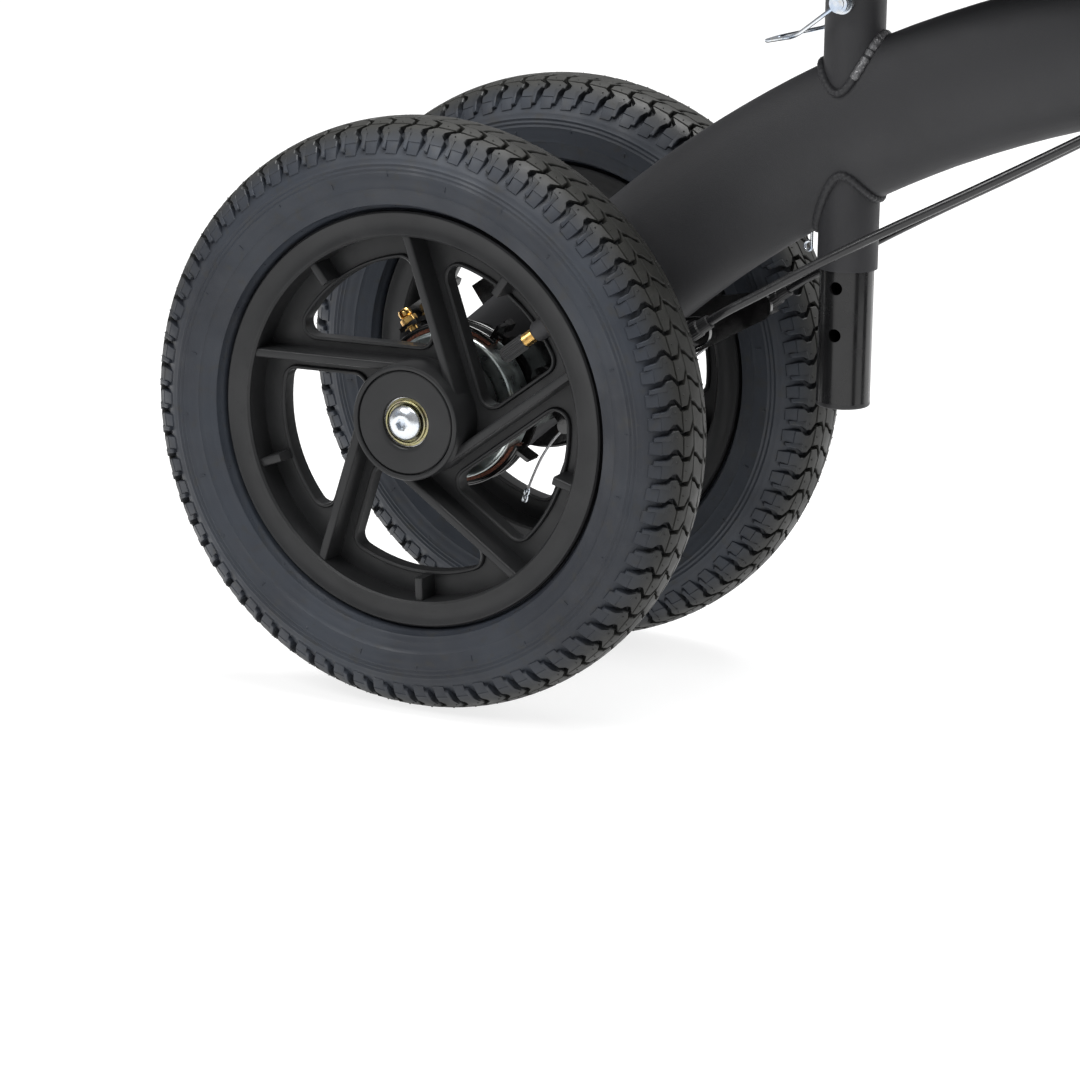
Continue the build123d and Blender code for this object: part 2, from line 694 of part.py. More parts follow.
with BuildPart() as knee_pad:
    with BuildSketch(Plane.XY.offset(board_z + board_thickness)):
        with Locations((pad_x, 0)):
            RectangleRounded(pad_length, pad_width, 36)
    extrude(amount=pad_height)
    fillet(knee_pad.edges().group_by(Axis.Z)[-1], 20)
    fillet(knee_pad.edges().group_by(Axis.Z)[0], 6)
write_piece(knee_pad.part, "knee_pad")

# ---------------------------------------------------------------- steering
column_top = head_tube_bottom - cup_flange - 0.5
yoke_bottom = head_tube_top + cup_flange + 0.5
yoke_top = hinge_z - 17.0

with BuildPart() as front_cross_beam:
    with BuildSketch(side_plane(front_x, axle_z, -cross_tube_half)):
        Circle(cross_tube_radius)
        Circle(cross_tube_radius - 3, mode=Mode.SUBTRACT)
    extrude(amount=2 * cross_tube_half)
    stub_end = front_track / 2 + 23.2
    with BuildSketch(side_plane(front_x, axle_z, cross_tube_half - 40)):
        Circle(cross_tube_radius - 3)
    extrude(amount=40)
    with BuildSketch(side_plane(front_x, axle_z, cross_tube_half)):
        Circle(9.0)
    extrude(amount=front_track / 2 - 19.3 - cross_tube_half)
    with BuildSketch(side_plane(front_x, axle_z, cross_tube_half)):
        Circle(shaft_radius)
    extrude(amount=stub_end - cross_tube_half)
    with BuildSketch(side_plane(front_x, axle_z, stub_end)):
        Circle(5.0)
    extrude(amount=-26, mode=Mode.SUBTRACT)
    split(bisect_by=Plane.XZ, keep=Keep.TOP)
    mirror(about=Plane.XZ)
write_piece(front_cross_beam.part, "front_cross_beam")

with BuildPart() as steerer:
    with BuildSketch(Plane.XY.offset(axle_z)):
        with Locations((front_x, 0)):
            Circle(column_radius)
            Circle(column_radius - 3, mode=Mode.SUBTRACT)
    extrude(amount=column_top - axle_z)
    with BuildSketch(Plane.XY.offset(column_top - 12)):
        with Locations((front_x, 0)):
            Circle(column_radius)
            Circle(steerer_radius - 3, mode=Mode.SUBTRACT)
    extrude(amount=12)
    with BuildSketch(Plane.XY.offset(column_top - 12)):
        with Locations((front_x, 0)):
            Circle(steerer_radius)
            Circle(steerer_radius - 3, mode=Mode.SUBTRACT)
    extrude(amount=yoke_top - 2 - column_top + 12)
    with BuildSketch(side_plane(front_x, axle_z, -cross_tube_half)):
        Circle(cross_tube_radius)
    extrude(amount=2 * cross_tube_half, mode=Mode.SUBTRACT)
    split(bisect_by=Plane.XY.offset(axle_z + 4), keep=Keep.TOP)
write_piece(steerer.part, "steerer")

ear_inner = tongue_half + 0.4
with BuildPart() as hinge_yoke:
    with BuildSketch(Plane.XY.offset(yoke_bottom)):
        with Locations((front_x, 0)):
            RectangleRounded(44, 2 * (ear_inner + ear_thickness), 8)
            Circle(steerer_radius, mode=Mode.SUBTRACT)
    extrude(amount=yoke_top - yoke_bottom)
    for side in (-1, 1):
        ear_middle = side * (ear_inner + ear_thickness / 2)
        with BuildSketch(side_plane(front_x, hinge_z, ear_middle - ear_thickness / 2)):
            Circle(16)
            with Locations((0, -12)):
                Rectangle(32, 20)
            Circle(hinge_pin_radius, mode=Mode.SUBTRACT)
        extrude(amount=ear_thickness)
write_piece(hinge_yoke.part, "hinge_yoke")

lever_y = ear_inner + ear_thickness + 9.5


def quick_release(pivot_x, pivot_y, pivot_z):
    """A cam lever on the end of a skewer, hanging straight down when closed."""
    with BuildPart() as lever:
        with BuildSketch(Plane(origin=(pivot_x - 7, -pivot_y, pivot_z), x_dir=(0, 1, 0), z_dir=(1, 0, 0))):
            Circle(7.5)
            with BuildLine():
                Polyline((-7.4, 0), (-9.5, -40), (-8.5, -58), (-3.5, -58), (-3.0, -38), (1, -6), (-7.4, 0))
            make_face()
        extrude(amount=14)
    return lever.part


with BuildPart() as fold_hinge_pin:
    with BuildSketch(side_plane(front_x, hinge_z, -ear_inner - ear_thickness - 6)):
        Circle(hinge_pin_radius - 0.1)
    extrude(amount=2 * (ear_inner + ear_thickness) + 7.2)
    with BuildSketch(side_plane(front_x, hinge_z, -ear_inner - ear_thickness - 6)):
        RegularPolygon(8, 6)
    extrude(amount=6)
write_piece(fold_hinge_pin.part, "fold_hinge_pin")

write_piece(quick_release(front_x, lever_y, hinge_z), "fold_lever")

# ---------------------------------------------------------------- tiller and handlebar
clamp_bottom = tiller_top - 26
with BuildPart() as tiller_tube:
    with BuildSketch(side_plane(front_x, hinge_z, -tongue_half)):
        Circle(15)
        with Locations((0, 12)):
            Rectangle(30, 24)
    extrude(amount=2 * tongue_half)
    with BuildSketch(Plane.XY.offset(tiller_bottom)):
        with Locations((front_x, 0)):
            Circle(tiller_radius)
    extrude(amount=tiller_top - tiller_bottom)
    with BuildSketch(Plane.XY.offset(clamp_bottom)):
        with Locations((front_x, 0)):
            Circle(tiller_radius + 4)
        with Locations((front_x - 29, 0)):
            Rectangle(20, 20)
    extrude(amount=tiller_top - clamp_bottom)
    with BuildSketch(Plane.XY.offset(tiller_bottom + 8)):
        with Locations((front_x, 0)):
            Circle(tiller_bore)
    extrude(amount=tiller_top - tiller_bottom, mode=Mode.SUBTRACT)
    with BuildSketch(Plane.XY.offset(clamp_bottom - 12)):
        with Locations((front_x - 30, 0)):
            Rectangle(30, 2.5)
    extrude(amount=tiller_top - clamp_bottom + 12, mode=Mode.SUBTRACT)
    with BuildSketch(side_plane(front_x, hinge_z, -tongue_half)):
        Circle(hinge_pin_radius - 0.05)
    extrude(amount=2 * tongue_half, mode=Mode.SUBTRACT)
    skewer_x = front_x - 32
    skewer_z = (clamp_bottom + tiller_top) / 2
    with BuildSketch(side_plane(skewer_x, skewer_z, -16)):
        Circle(2.8)
    extrude(amount=27)
    with BuildSketch(side_plane(skewer_x, skewer_z, -16)):
        RegularPolygon(6, 6)
    extrude(amount=6)
write_piece(tiller_tube.part, "tiller_tube")

write_piece(quick_release(skewer_x, 19, skewer_z), "stem_lever")

stem_hole_z = 885.0
with BuildPart() as stem_tube:
    with BuildSketch(Plane.XY.offset(stem_bottom)):
        with Locations((front_x, 0)):
            Circle(stem_radius)
            Circle(stem_radius - 2, mode=Mode.SUBTRACT)
    extrude(amount=bar_z - stem_bottom)
    with BuildSketch(side_plane(front_x, bar_z, -stem_radius - 1)):
        Circle(bar_radius)
    extrude(amount=2 * stem_radius + 2, mode=Mode.SUBTRACT)
    with BuildSketch(Plane(origin=(front_x, 0, stem_hole_z), x_dir=(0, 1, 0), z_dir=(1, 0, 0))):
        SlotOverall(24, 14)
    extrude(amount=stem_radius + 1, mode=Mode.SUBTRACT)
    split(bisect_by=Plane.XY.offset(bar_z - 5), keep=Keep.BOTTOM)
write_piece(stem_tube.part, "stem_tube")

with BuildPart() as handlebar:
    with BuildSketch(side_plane(front_x, bar_z, -bar_half)):
        Circle(bar_radius)
        Circle(bar_radius - 2, mode=Mode.SUBTRACT)
    extrude(amount=2 * bar_half)
write_piece(handlebar.part, "handlebar")

with BuildPart() as grips:
    with BuildSketch(Plane(origin=(front_x, 0, bar_z), x_dir=(1, 0, 0), z_dir=(0, 0, 1))):
        ring_section(bar_radius, grip_radius, grip_inner_y, bar_half)
        ring_section(bar_radius, grip_radius + 2.5, grip_inner_y, grip_inner_y + 5)
        ring_section(0, grip_radius, bar_half, bar_half + 4)
    revolve(axis=Axis((front_x, 0, bar_z), (0, 1, 0)))
    mirror(about=Plane.XZ)
write_piece(grips.part, "grips")

lever_pivot_x = front_x + 33
lever_pivot_y = 112.0
perch_inner_y = 104.0
perch_width = 20.0
lever_half_height = 4.5
with BuildPart() as lever_perches:
    with BuildSketch(side_plane(front_x, bar_z, perch_inner_y)):
        Circle(bar_radius + 4)
        with Locations((22, 0)):
            Rectangle(30, 20)
        Circle(bar_radius, mode=Mode.SUBTRACT)
    extrude(amount=perch_width)
    with BuildSketch(Plane.XY.offset(bar_z)):
        with Locations((lever_pivot_x + 3, -lever_pivot_y - 3)):
            Rectangle(26, 24)
    extrude(amount=lever_half_height + 0.4, both=True, mode=Mode.SUBTRACT)
    with BuildSketch(Plane.XY.offset(bar_z)):
        with Locations((lever_pivot_x, -lever_pivot_y)):
            Circle(2.9)
    extrude(amount=10, both=True)
    with BuildSketch(side_plane(front_x + 22, bar_z, perch_inner_y - 12)):
        Circle(4)
    extrude(amount=13)
    with BuildSketch(side_plane(front_x + 22, bar_z, perch_inner_y - 12)):
        Circle(cable_radius)
    extrude(amount=6, mode=Mode.SUBTRACT)
    mirror(about=Plane.XZ)
write_piece(lever_perches.part, "lever_perches")

with BuildPart() as brake_lever_right:
    with BuildSketch(Plane.XY.offset(bar_z - lever_half_height)):
        with BuildLine():
            blade = [(lever_pivot_x + x, -lever_pivot_y - y) for x, y in ((0, 0), (20, 12), (30, 50), (28, 112))]
            FilletPolyline(*blade, radius=[14, 40])
        trace(line_width=9)
        with Locations((lever_pivot_x, -lever_pivot_y)):
            Circle(7)
            Circle(3.0, mode=Mode.SUBTRACT)
    extrude(amount=2 * lever_half_height)
write_piece(brake_lever_right.part, "brake_lever_right")

with BuildPart() as brake_lever_left:
    mirror(brake_lever_right.part, about=Plane.XZ)
write_piece(brake_lever_left.part, "brake_lever_left")

bar_cable = [Vector(front_x + x, -y, bar_z + z) for x, y, z in
             ((22, perch_inner_y - 6, 0), (22, 78, 0), (27, 56, -6), (31, 34, -17), (25, 14, -33), (7, 5, -42))]
print("lever cable bend radii:", [round(r) for r in bend_radii(bar_cable)])
with BuildPart() as handlebar_cables:
    with BuildLine() as bar_cable_line:
        FilletPolyline(*bar_cable, radius=bend_radii(bar_cable))
    with BuildSketch(Plane(origin=bar_cable[0], z_dir=bar_cable[1] - bar_cable[0])):
        Circle(cable_radius)
    sweep(path=bar_cable_line.line)
    mirror(about=Plane.XZ)
write_piece(handlebar_cables.part, "handlebar_cables")
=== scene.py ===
"""The knee scooter's looks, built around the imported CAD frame. Metres, +X forward, +Y left, +Z up."""

import json
import math

import bmesh
import bpy
import numpy as np
from mathutils import Matrix, Vector
from mathutils.bvhtree import BVHTree
from mathutils.geometry import delaunay_2d_cdt


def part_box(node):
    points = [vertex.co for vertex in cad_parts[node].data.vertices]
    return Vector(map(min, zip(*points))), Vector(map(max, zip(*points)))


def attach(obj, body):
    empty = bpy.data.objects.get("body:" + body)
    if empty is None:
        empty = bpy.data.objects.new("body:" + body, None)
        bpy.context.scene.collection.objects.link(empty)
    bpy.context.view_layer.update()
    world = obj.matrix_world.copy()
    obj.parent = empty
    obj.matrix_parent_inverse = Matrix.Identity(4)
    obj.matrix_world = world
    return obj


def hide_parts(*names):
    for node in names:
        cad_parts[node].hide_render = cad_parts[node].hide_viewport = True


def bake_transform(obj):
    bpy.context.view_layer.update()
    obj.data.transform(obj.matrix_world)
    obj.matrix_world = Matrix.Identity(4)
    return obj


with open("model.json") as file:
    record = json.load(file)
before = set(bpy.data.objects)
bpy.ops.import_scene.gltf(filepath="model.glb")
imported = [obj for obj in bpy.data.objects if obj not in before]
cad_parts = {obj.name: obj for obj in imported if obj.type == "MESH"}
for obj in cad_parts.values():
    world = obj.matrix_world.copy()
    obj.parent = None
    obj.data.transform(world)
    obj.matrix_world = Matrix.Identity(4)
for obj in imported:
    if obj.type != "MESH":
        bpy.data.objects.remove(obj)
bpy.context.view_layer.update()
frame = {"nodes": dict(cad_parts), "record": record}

MM = 0.001
TAU = 2 * math.pi
WHEELS = ("rear_right", "rear_left", "front_right", "front_left")
SIDES = {"right": -1, "left": 1}


def middle(node):
    """Centre of a CAD node's box."""
    low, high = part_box(node)
    return (low + high) / 2


def half_size(node):
    """Half of a CAD node's box along each axis."""
    low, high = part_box(node)
    return (high - low) / 2


def polar(radius, turn):
    """The two coordinates of a point at a radius and a turn."""
    return radius * math.cos(turn), radius * math.sin(turn)


def around(count):
    """The turns of so many equal steps round a circle."""
    return np.linspace(0, TAU, count + 1)[:-1]


def clamped(value, low=0.0, high=1.0):
    """A value held between two limits."""
    return max(low, min(high, value))


def linked(name, data):
    """A new object in the scene."""
    made = bpy.data.objects.new(name, data)
    bpy.context.scene.collection.objects.link(made)
    return made


# ---------------------------------------------------------------- materials
def socket(links, value, target):
    """Link a node's output to a socket, or set the socket when the value is a plain one."""
    if hasattr(value, "is_linked") or isinstance(value, bpy.types.NodeSocket):
        links.new(value, target)
    else:
        target.default_value = value


class Finish:
    """One procedural material, made step by step from noise in the object's own coordinates."""

    def __init__(self, name, colour, roughness, metallic=0.0, specular=0.5, coat=0.0, sheen=0.0):
        self.name = name
        self.material = bpy.data.materials.new(name)
        self.material.use_nodes = True
        self.tree = self.material.node_tree
        self.nodes, self.links = self.tree.nodes, self.tree.links
        self.shader = self.nodes["Principled BSDF"]
        self.base = (*colour, 1.0)
        self.colour = None
        self.normal = None
        for label, value in (("Base Color", self.base), ("Roughness", roughness), ("Metallic", metallic),
                             ("Specular IOR Level", specular), ("Coat Weight", coat),
                             ("Coat Roughness", 0.08), ("Sheen Weight", sheen)):
            self.shader.inputs[label].default_value = value
        self.place = self.nodes.new("ShaderNodeTexCoord").outputs["Object"]

    def node(self, kind, **inputs):
        """A node with some of its inputs set or linked by name."""
        made = self.nodes.new(kind)
        for name, value in inputs.items():
            socket(self.links, value, made.inputs[name.replace("_", " ")])
        return made

    def stretched(self, scale):
        """The object's coordinates, stretched along its axes."""
        return self.node("ShaderNodeMapping", Vector=self.place, Scale=scale).outputs["Vector"]

    def noise(self, scale, detail=3.0, vector=None):
        """Noise with so many cells a metre."""
        made = self.node("ShaderNodeTexNoise", Vector=vector or self.place, Scale=scale, Detail=detail)
        return made.outputs["Fac"]

    def ranged(self, value, low, high, to_low=0.0, to_high=1.0):
        """A value moved from one range to another."""
        made = self.node("ShaderNodeMapRange", Value=value, From_Min=low, From_Max=high,
                         To_Min=to_low, To_Max=to_high)
        return made.outputs["Result"]

    def tint(self, share, other):
        """Blend towards another colour by a share."""
        mix = self.nodes.new("ShaderNodeMix")
        mix.data_type = "RGBA"
        self.links.new(share, mix.inputs["Factor"])
        if self.colour is None:
            mix.inputs["A"].default_value = self.base
        else:
            self.links.new(self.colour, mix.inputs["A"])
        mix.inputs["B"].default_value = (*other, 1.0)
        self.colour = mix.outputs["Result"]
        self.links.new(self.colour, self.shader.inputs["Base Color"])
        return self

    def mottle(self, scale, other, low=0.4, high=0.7, most=1.0, vector=None):
        """Uneven colour in soft patches."""
        return self.tint(self.ranged(self.noise(scale, vector=vector), low, high, 0.0, most), other)

    def uneven_gloss(self, scale, low, high, vector=None):
        """Roughness that wanders between two values."""
        self.links.new(self.ranged(self.noise(scale, 4.0, vector), 0.35, 0.65, low, high),
                       self.shader.inputs["Roughness"])
        return self

    def bump(self, height, depth, strength=1.0):
        """Relief of so many metres, on top of any relief before it."""
        made = self.node("ShaderNodeBump", Strength=strength, Distance=depth, Height=height)
        if self.normal is not None:
            self.links.new(self.normal, made.inputs["Normal"])
        self.normal = made.outputs["Normal"]
        self.links.new(self.normal, self.shader.inputs["Normal"])
        return self

    def grain(self, scale, depth, strength=1.0, vector=None):
        """A fine noise relief."""
        return self.bump(self.noise(scale, 2.0, vector), depth, strength)

    def radius(self):
        """Distance from the piece's own Z axis."""
        flat = self.node("ShaderNodeVectorMath")
        flat.operation = "MULTIPLY"
        self.links.new(self.place, flat.inputs[0])
        flat.inputs[1].default_value = (1, 1, 0)
        length = self.node("ShaderNodeVectorMath")
        length.operation = "LENGTH"
        self.links.new(flat.outputs[0], length.inputs[0])
        return length.outputs["Value"]


def tyre_rubber():
    """Bluish-black sidewall with a dull, browner tread."""
    made = Finish("tyre_rubber", (0.031, 0.037, 0.048), 0.44, specular=0.36)
    radius = made.radius()
    made.mottle(14, (0.021, 0.024, 0.031), 0.35, 0.65)
    made.mottle(70, (0.034, 0.037, 0.044), 0.5, 0.75, 0.6)
    made.tint(made.ranged(radius, 0.1480, 0.1560), (0.0185, 0.0185, 0.0165))
    made.mottle(160, (0.031, 0.030, 0.026), 0.56, 0.72, 0.5)
    made.mottle(420, (0.05, 0.047, 0.04), 0.68, 0.76, 0.35)
    return made.uneven_gloss(45, 0.42, 0.62).grain(900, 0.00012, 0.5).grain(120, 0.0004, 0.25)


def drum_zinc():
    """Zinc plated steel pressing with turning lines round the axle."""
    made = Finish("drum_zinc", (0.74, 0.8, 0.78), 0.34, metallic=1.0)
    lines = made.stretched((1, 14, 1))
    made.mottle(34, (0.46, 0.54, 0.54), 0.42, 0.66)
    made.mottle(150, (0.6, 0.56, 0.42), 0.64, 0.76, 0.4)
    return made.uneven_gloss(160, 0.26, 0.42).grain(500, 0.00004, 0.35, lines)


def wire_steel():
    """Stranded steel wire: the strands show as fine slanting lines, with painted shade in the grooves between
    them.
    """
    made = Finish("wire_steel", (0.62, 0.62, 0.63), 0.26, metallic=1.0)
    waves = made.node("ShaderNodeTexWave", Vector=made.stretched((1.0, 1.0, 0.8)), Scale=900.0)
    waves.bands_direction = "DIAGONAL"
    # Painted shade: the steel is darkened in the grooves between the strands.
    made.tint(made.ranged(waves.outputs["Fac"], 0.2, 0.8, 0.5, 0.0), (0.2, 0.2, 0.2))
    made.mottle(500, (0.42, 0.42, 0.43), 0.5, 0.7)
    return made.bump(waves.outputs["Fac"], 0.0001, 0.6)


def soft_rubber(name, tone=0.02):
    """Plain moulded rubber."""
    made = Finish(name, (tone, tone, tone * 1.08), 0.6, specular=0.4)
    made.mottle(40, (tone * 1.6, tone * 1.6, tone * 1.7), 0.45, 0.7, 0.7)
    return made.uneven_gloss(80, 0.5, 0.7).grain(1100, 0.00012, 0.6)


def pad_cover():
    """Black coated vinyl with a leather grain, painted shade in the grain's creases and a soft sheen."""
    made = Finish("pad_cover", (0.016, 0.016, 0.0175), 0.46, specular=0.45, sheen=0.08)
    cells = made.node("ShaderNodeTexVoronoi", Vector=made.place, Scale=620.0)
    cells.feature = "DISTANCE_TO_EDGE"
    creases = made.ranged(cells.outputs["Distance"], 0.0, 0.18)
    made.mottle(22, (0.022, 0.022, 0.024), 0.4, 0.7)
    # Painted shade: the cover is darkened along the grain's creases.
    made.tint(made.ranged(cells.outputs["Distance"], 0.0, 0.1, 0.6, 0.0), (0.009, 0.009, 0.01))
    return made.uneven_gloss(35, 0.4, 0.55).bump(creases, 0.00016, 0.7).grain(60, 0.0006, 0.25)


MADE_FINISHES = (
    # Matte charcoal powder coat with a fine orange-peel grain.
    Finish("frame_paint", (0.0275, 0.0277, 0.0302), 0.48, specular=0.4)
    .mottle(8, (0.029, 0.0292, 0.0318), 0.35, 0.7)
    .mottle(900, (0.036, 0.036, 0.039), 0.62, 0.75, 0.6)
    .uneven_gloss(30, 0.46, 0.58).grain(1500, 0.00012, 0.7).grain(420, 0.00015, 0.3),
    # Gloss black paint with a faint ripple.
    Finish("post_paint", (0.008, 0.008, 0.0085), 0.24, specular=0.4, coat=0.15)
    .mottle(20, (0.013, 0.013, 0.0135), 0.4, 0.7)
    .mottle(600, (0.02, 0.02, 0.021), 0.64, 0.74, 0.4)
    .uneven_gloss(70, 0.2, 0.3).grain(160, 0.00003, 0.3),
    # Satin black nylon with a very fine spark-eroded grain.
    Finish("rim_plastic", (0.0165, 0.0169, 0.0178), 0.38, specular=0.32)
    .mottle(25, (0.0225, 0.0229, 0.0238), 0.4, 0.7)
    .mottle(240, (0.0135, 0.0136, 0.014), 0.6, 0.75, 0.5)
    .uneven_gloss(60, 0.33, 0.45).grain(1900, 0.00006, 0.45),
    # Moulded black plastic for small parts.
    Finish("black_plastic", (0.015, 0.015, 0.0159), 0.4)
    .mottle(60, (0.0225, 0.0225, 0.02325), 0.45, 0.7, 0.7)
    .uneven_gloss(90, 0.33, 0.5).grain(1600, 0.00007, 0.5),
    # Gloss black coating on pressed steel, thinner and browner at its high spots.
    Finish("brake_black", (0.0055, 0.0053, 0.0055), 0.16, specular=0.6, coat=0.5)
    .mottle(130, (0.03, 0.017, 0.011), 0.62, 0.75, 0.5)
    .uneven_gloss(110, 0.1, 0.26).grain(260, 0.0002, 0.4),
    # Bright zinc plate with pale blue and straw tints.
    Finish("bright_zinc", (0.74, 0.77, 0.8), 0.2, metallic=1.0)
    .mottle(140, (0.47, 0.57, 0.72), 0.5, 0.68, 0.8)
    .mottle(190, (0.7, 0.64, 0.52), 0.6, 0.75, 0.5)
    .uneven_gloss(300, 0.14, 0.3).grain(900, 0.00005, 0.5),
    # Yellow passivated zinc, iridescent in patches.
    Finish("yellow_zinc", (0.4, 0.37, 0.2), 0.3, metallic=1.0)
    .mottle(220, (0.34, 0.32, 0.24), 0.45, 0.62)
    .mottle(320, (0.42, 0.3, 0.26), 0.58, 0.72, 0.6)
    .mottle(280, (0.26, 0.36, 0.25), 0.6, 0.74, 0.5)
    .uneven_gloss(400, 0.24, 0.42).grain(900, 0.00006, 0.5),
    # Turned brass, a little tarnished.
    Finish("brass", (0.78, 0.5, 0.17), 0.24, metallic=1.0)
    .mottle(260, (0.5, 0.27, 0.1), 0.5, 0.7, 0.8)
    .uneven_gloss(350, 0.18, 0.4).grain(1200, 0.00005, 0.5),
    # Red-brown moulded friction lining with flecks.
    Finish("lining", (0.2, 0.065, 0.035), 0.7)
    .mottle(900, (0.08, 0.03, 0.02), 0.5, 0.6)
    .mottle(1500, (0.4, 0.24, 0.14), 0.64, 0.7, 0.7)
    .grain(1200, 0.0003, 0.8),
    # Ground steel with a darker shield.
    Finish("bearing_steel", (0.55, 0.55, 0.57), 0.25, metallic=1.0)
    .mottle(300, (0.33, 0.33, 0.35), 0.45, 0.65)
    .uneven_gloss(600, 0.18, 0.36).grain(1500, 0.00004, 0.4),
    # Gloss black cable housing.
    Finish("cable_sheath", (0.011, 0.011, 0.012), 0.2, specular=0.55)
    .mottle(70, (0.017, 0.017, 0.018), 0.45, 0.7)
    .uneven_gloss(180, 0.15, 0.3).grain(500, 0.00008, 0.3),
    # The one bare weld: pale, sparkling and rough.
    Finish("weld_steel", (0.16, 0.16, 0.165), 0.5, metallic=0.6)
    .mottle(1100, (0.5, 0.5, 0.5), 0.58, 0.66, 0.8)
    .uneven_gloss(900, 0.3, 0.7).grain(800, 0.0004, 0.8),
    tyre_rubber(), drum_zinc(), wire_steel(), pad_cover(),
    soft_rubber("tube_rubber", 0.03), soft_rubber("grip_rubber"),
)
FINISHES = {made.name: made.material for made in MADE_FINISHES}

for row in frame["record"]["subparts"]:
    node = frame["nodes"][row["node"]]
    node.data.materials.clear()
    node.data.materials.append(FINISHES[row["material_slot"]])


# ---------------------------------------------------------------- mesh building
class Shape:
    """Closed shells gathered into one mesh. Points are given in millimetres."""

    def __init__(self, place=None):
        self.points, self.faces, self.finishes = [], [], []
        self.place = place or Matrix.Identity(4)

    def add(self, points, faces, finish=0):
        start = len(self.points)
        self.points += [tuple(self.place @ Vector(p)) for p in points]
        self.faces += [[start + i for i in face] for face in faces]
        self.finishes += [finish] * len(faces)

    def grid(self, rows, wrap_rows=False, wrap_points=True, caps=False, finish=0):
        """Quads between rows of equally many points, with fan caps at the two ends if asked."""
        count, width = len(rows), len(rows[0])
        points = [p for row in rows for p in row]
        faces = []
        for r in range(count if wrap_rows else count - 1):
            for c in range(width if wrap_points else width - 1):
                below, above = r * width, (r + 1) % count * width
                after = (c + 1) % width
                faces.append([below + c, below + after, above + after, above + c])
        if caps:
            for row, first in ((rows[0], 0), (rows[-1], (count - 1) * width)):
                points.append(tuple(np.mean(np.array(row, float), axis=0)))
                hub = len(points) - 1
                faces += [[first + c, first + (c + 1) % width, hub] for c in range(width)]
        self.add(points, faces, finish)

    def lathe(self, section, steps=96, finish=0, ripple=None):
        """A section of (radius, height) turned round the Z axis. ripple(angle) scales the radius."""
        rows = []
        for i in range(steps):
            angle = TAU * i / steps
            share = ripple(angle) if ripple else 1.0
            rows.append([(*polar(r * share, angle), w) for r, w in section])
        self.grid(rows, wrap_rows=True, finish=finish)

    def bar(self, start, end, section, up, finish=0, steps=1):
        """A straight bar between two points with a closed section of (side, up) offsets."""
        start, end, up = Vector(start), Vector(end), Vector(up)
        side = (end - start).normalized().cross(up)
        rows = [[tuple(start.lerp(end, i / steps) + side * a + up * b) for a, b in section]
                for i in range(steps + 1)]
        self.grid(rows, caps=True, finish=finish)

    def sweep(self, path, section, up=(0, 0, 1), scale=None, closed=False, finish=0):
        """A closed section of (side, up) offsets carried along a smooth path."""
        path = [Vector(p) for p in path]
        count = len(path)
        rows = []
        for i, here in enumerate(path):
            before = path[i - 1] if closed or i else here
            after = path[(i + 1) % count] if closed or i < count - 1 else here
            along = (after - before).normalized()
            side = along.cross(Vector(up)).normalized()
            over = side.cross(along)
            size = scale(i / max(1, count - 1)) if scale else 1.0
            rows.append([tuple(here + (side * a + over * b) * size) for a, b in section])
        self.grid(rows, wrap_rows=closed, caps=not closed, finish=finish)

    def build(self, name, *materials, sharp=38.0):
        """The mesh object, in metres, with smooth shading between its sharp edges."""
        mesh = bpy.data.meshes.new(name)
        mesh.from_pydata([tuple(c * MM for c in p) for p in self.points], [], self.faces)
        for material in materials:
            mesh.materials.append(material)
        mesh.polygons.foreach_set("material_index", self.finishes)
        work = bmesh.new()
        work.from_mesh(mesh)
        bmesh.ops.recalc_face_normals(work, faces=work.faces)
        for face in work.faces:
            face.smooth = True
        work.to_mesh(mesh)
        work.free()
        mesh.set_sharp_from_angle(angle=math.radians(sharp))
        return linked(name, mesh)


def ring(radius, count=12, flat=1.0):
    """A round section of (side, up) offsets."""
    return [(x, y * flat) for x, y in (polar(radius, TAU * i / count) for i in range(count))]


def facing(way, up, place):
    """A placement at a point, in millimetres, with its Z axis along a direction."""
    made = Vector(way).to_track_quat("Z", up).to_matrix().to_4x4()
    made.translation = place
    return made


def rounded(section, radius, steps=3):
    """A closed polygon with each corner rounded by a short curve."""
    made = []
    count = len(section)
    for i, corner in enumerate(section):
        corner = Vector(corner)
        before, after = Vector(section[i - 1]), Vector(section[(i + 1) % count])
        reach = min(radius, (before - corner).length * 0.45, (after - corner).length * 0.45)
        start = corner + (before - corner).normalized() * reach
        end = corner + (after - corner).normalized() * reach
        for k in range(steps + 1):
            t = k / steps
            made.append(tuple(start * (1 - t) ** 2 + corner * 2 * t * (1 - t) + end * t * t))
    return made


def smooth_path(points, steps=8, closed=False):
    """Points along a smooth curve through the given ones."""
    points = [Vector(p) for p in points]
    count = len(points)
    made = []
    for i in range(count if closed else count - 1):
        a = points[i - 1] if closed or i else points[0]
        b, c = points[i], points[(i + 1) % count]
        d = points[(i + 2) % count] if closed or i < count - 2 else points[-1]
        for k in range(steps):
            t = k / steps
            made.append(0.5 * (2 * b + (c - a) * t + (2 * a - 5 * b + 4 * c - d) * t ** 2
                               + (3 * b - a - 3 * c + d) * t ** 3))
    return made if closed else made + [points[-1]]


def on_body(piece, body, replaces=()):
    """Fasten a finished piece to its CAD body."""
    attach(piece, body)
    if replaces:
        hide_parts(*replaces)
    return piece


def fit(shape, name, body, slot, replaces=(), extra=(), sharp=38.0):
    """Build a shape in its slot's finish, with any extra finishes, and fasten it to a body."""
    materials = [FINISHES[slot]] + [FINISHES[other] for other in extra]
    return on_body(shape.build(name, *materials, sharp=sharp), body, replaces)


def wheel_matrix(wheel):
    """The wheel's own frame: its axis is Z, pointing outboard, with X forward."""
    side = SIDES[wheel.split("_")[1]]
    made = Matrix(((1, 0, 0), (0, 0, side), (0, -side, 0))).to_4x4()
    made.translation = middle(f"{wheel}_tyre")
    return made


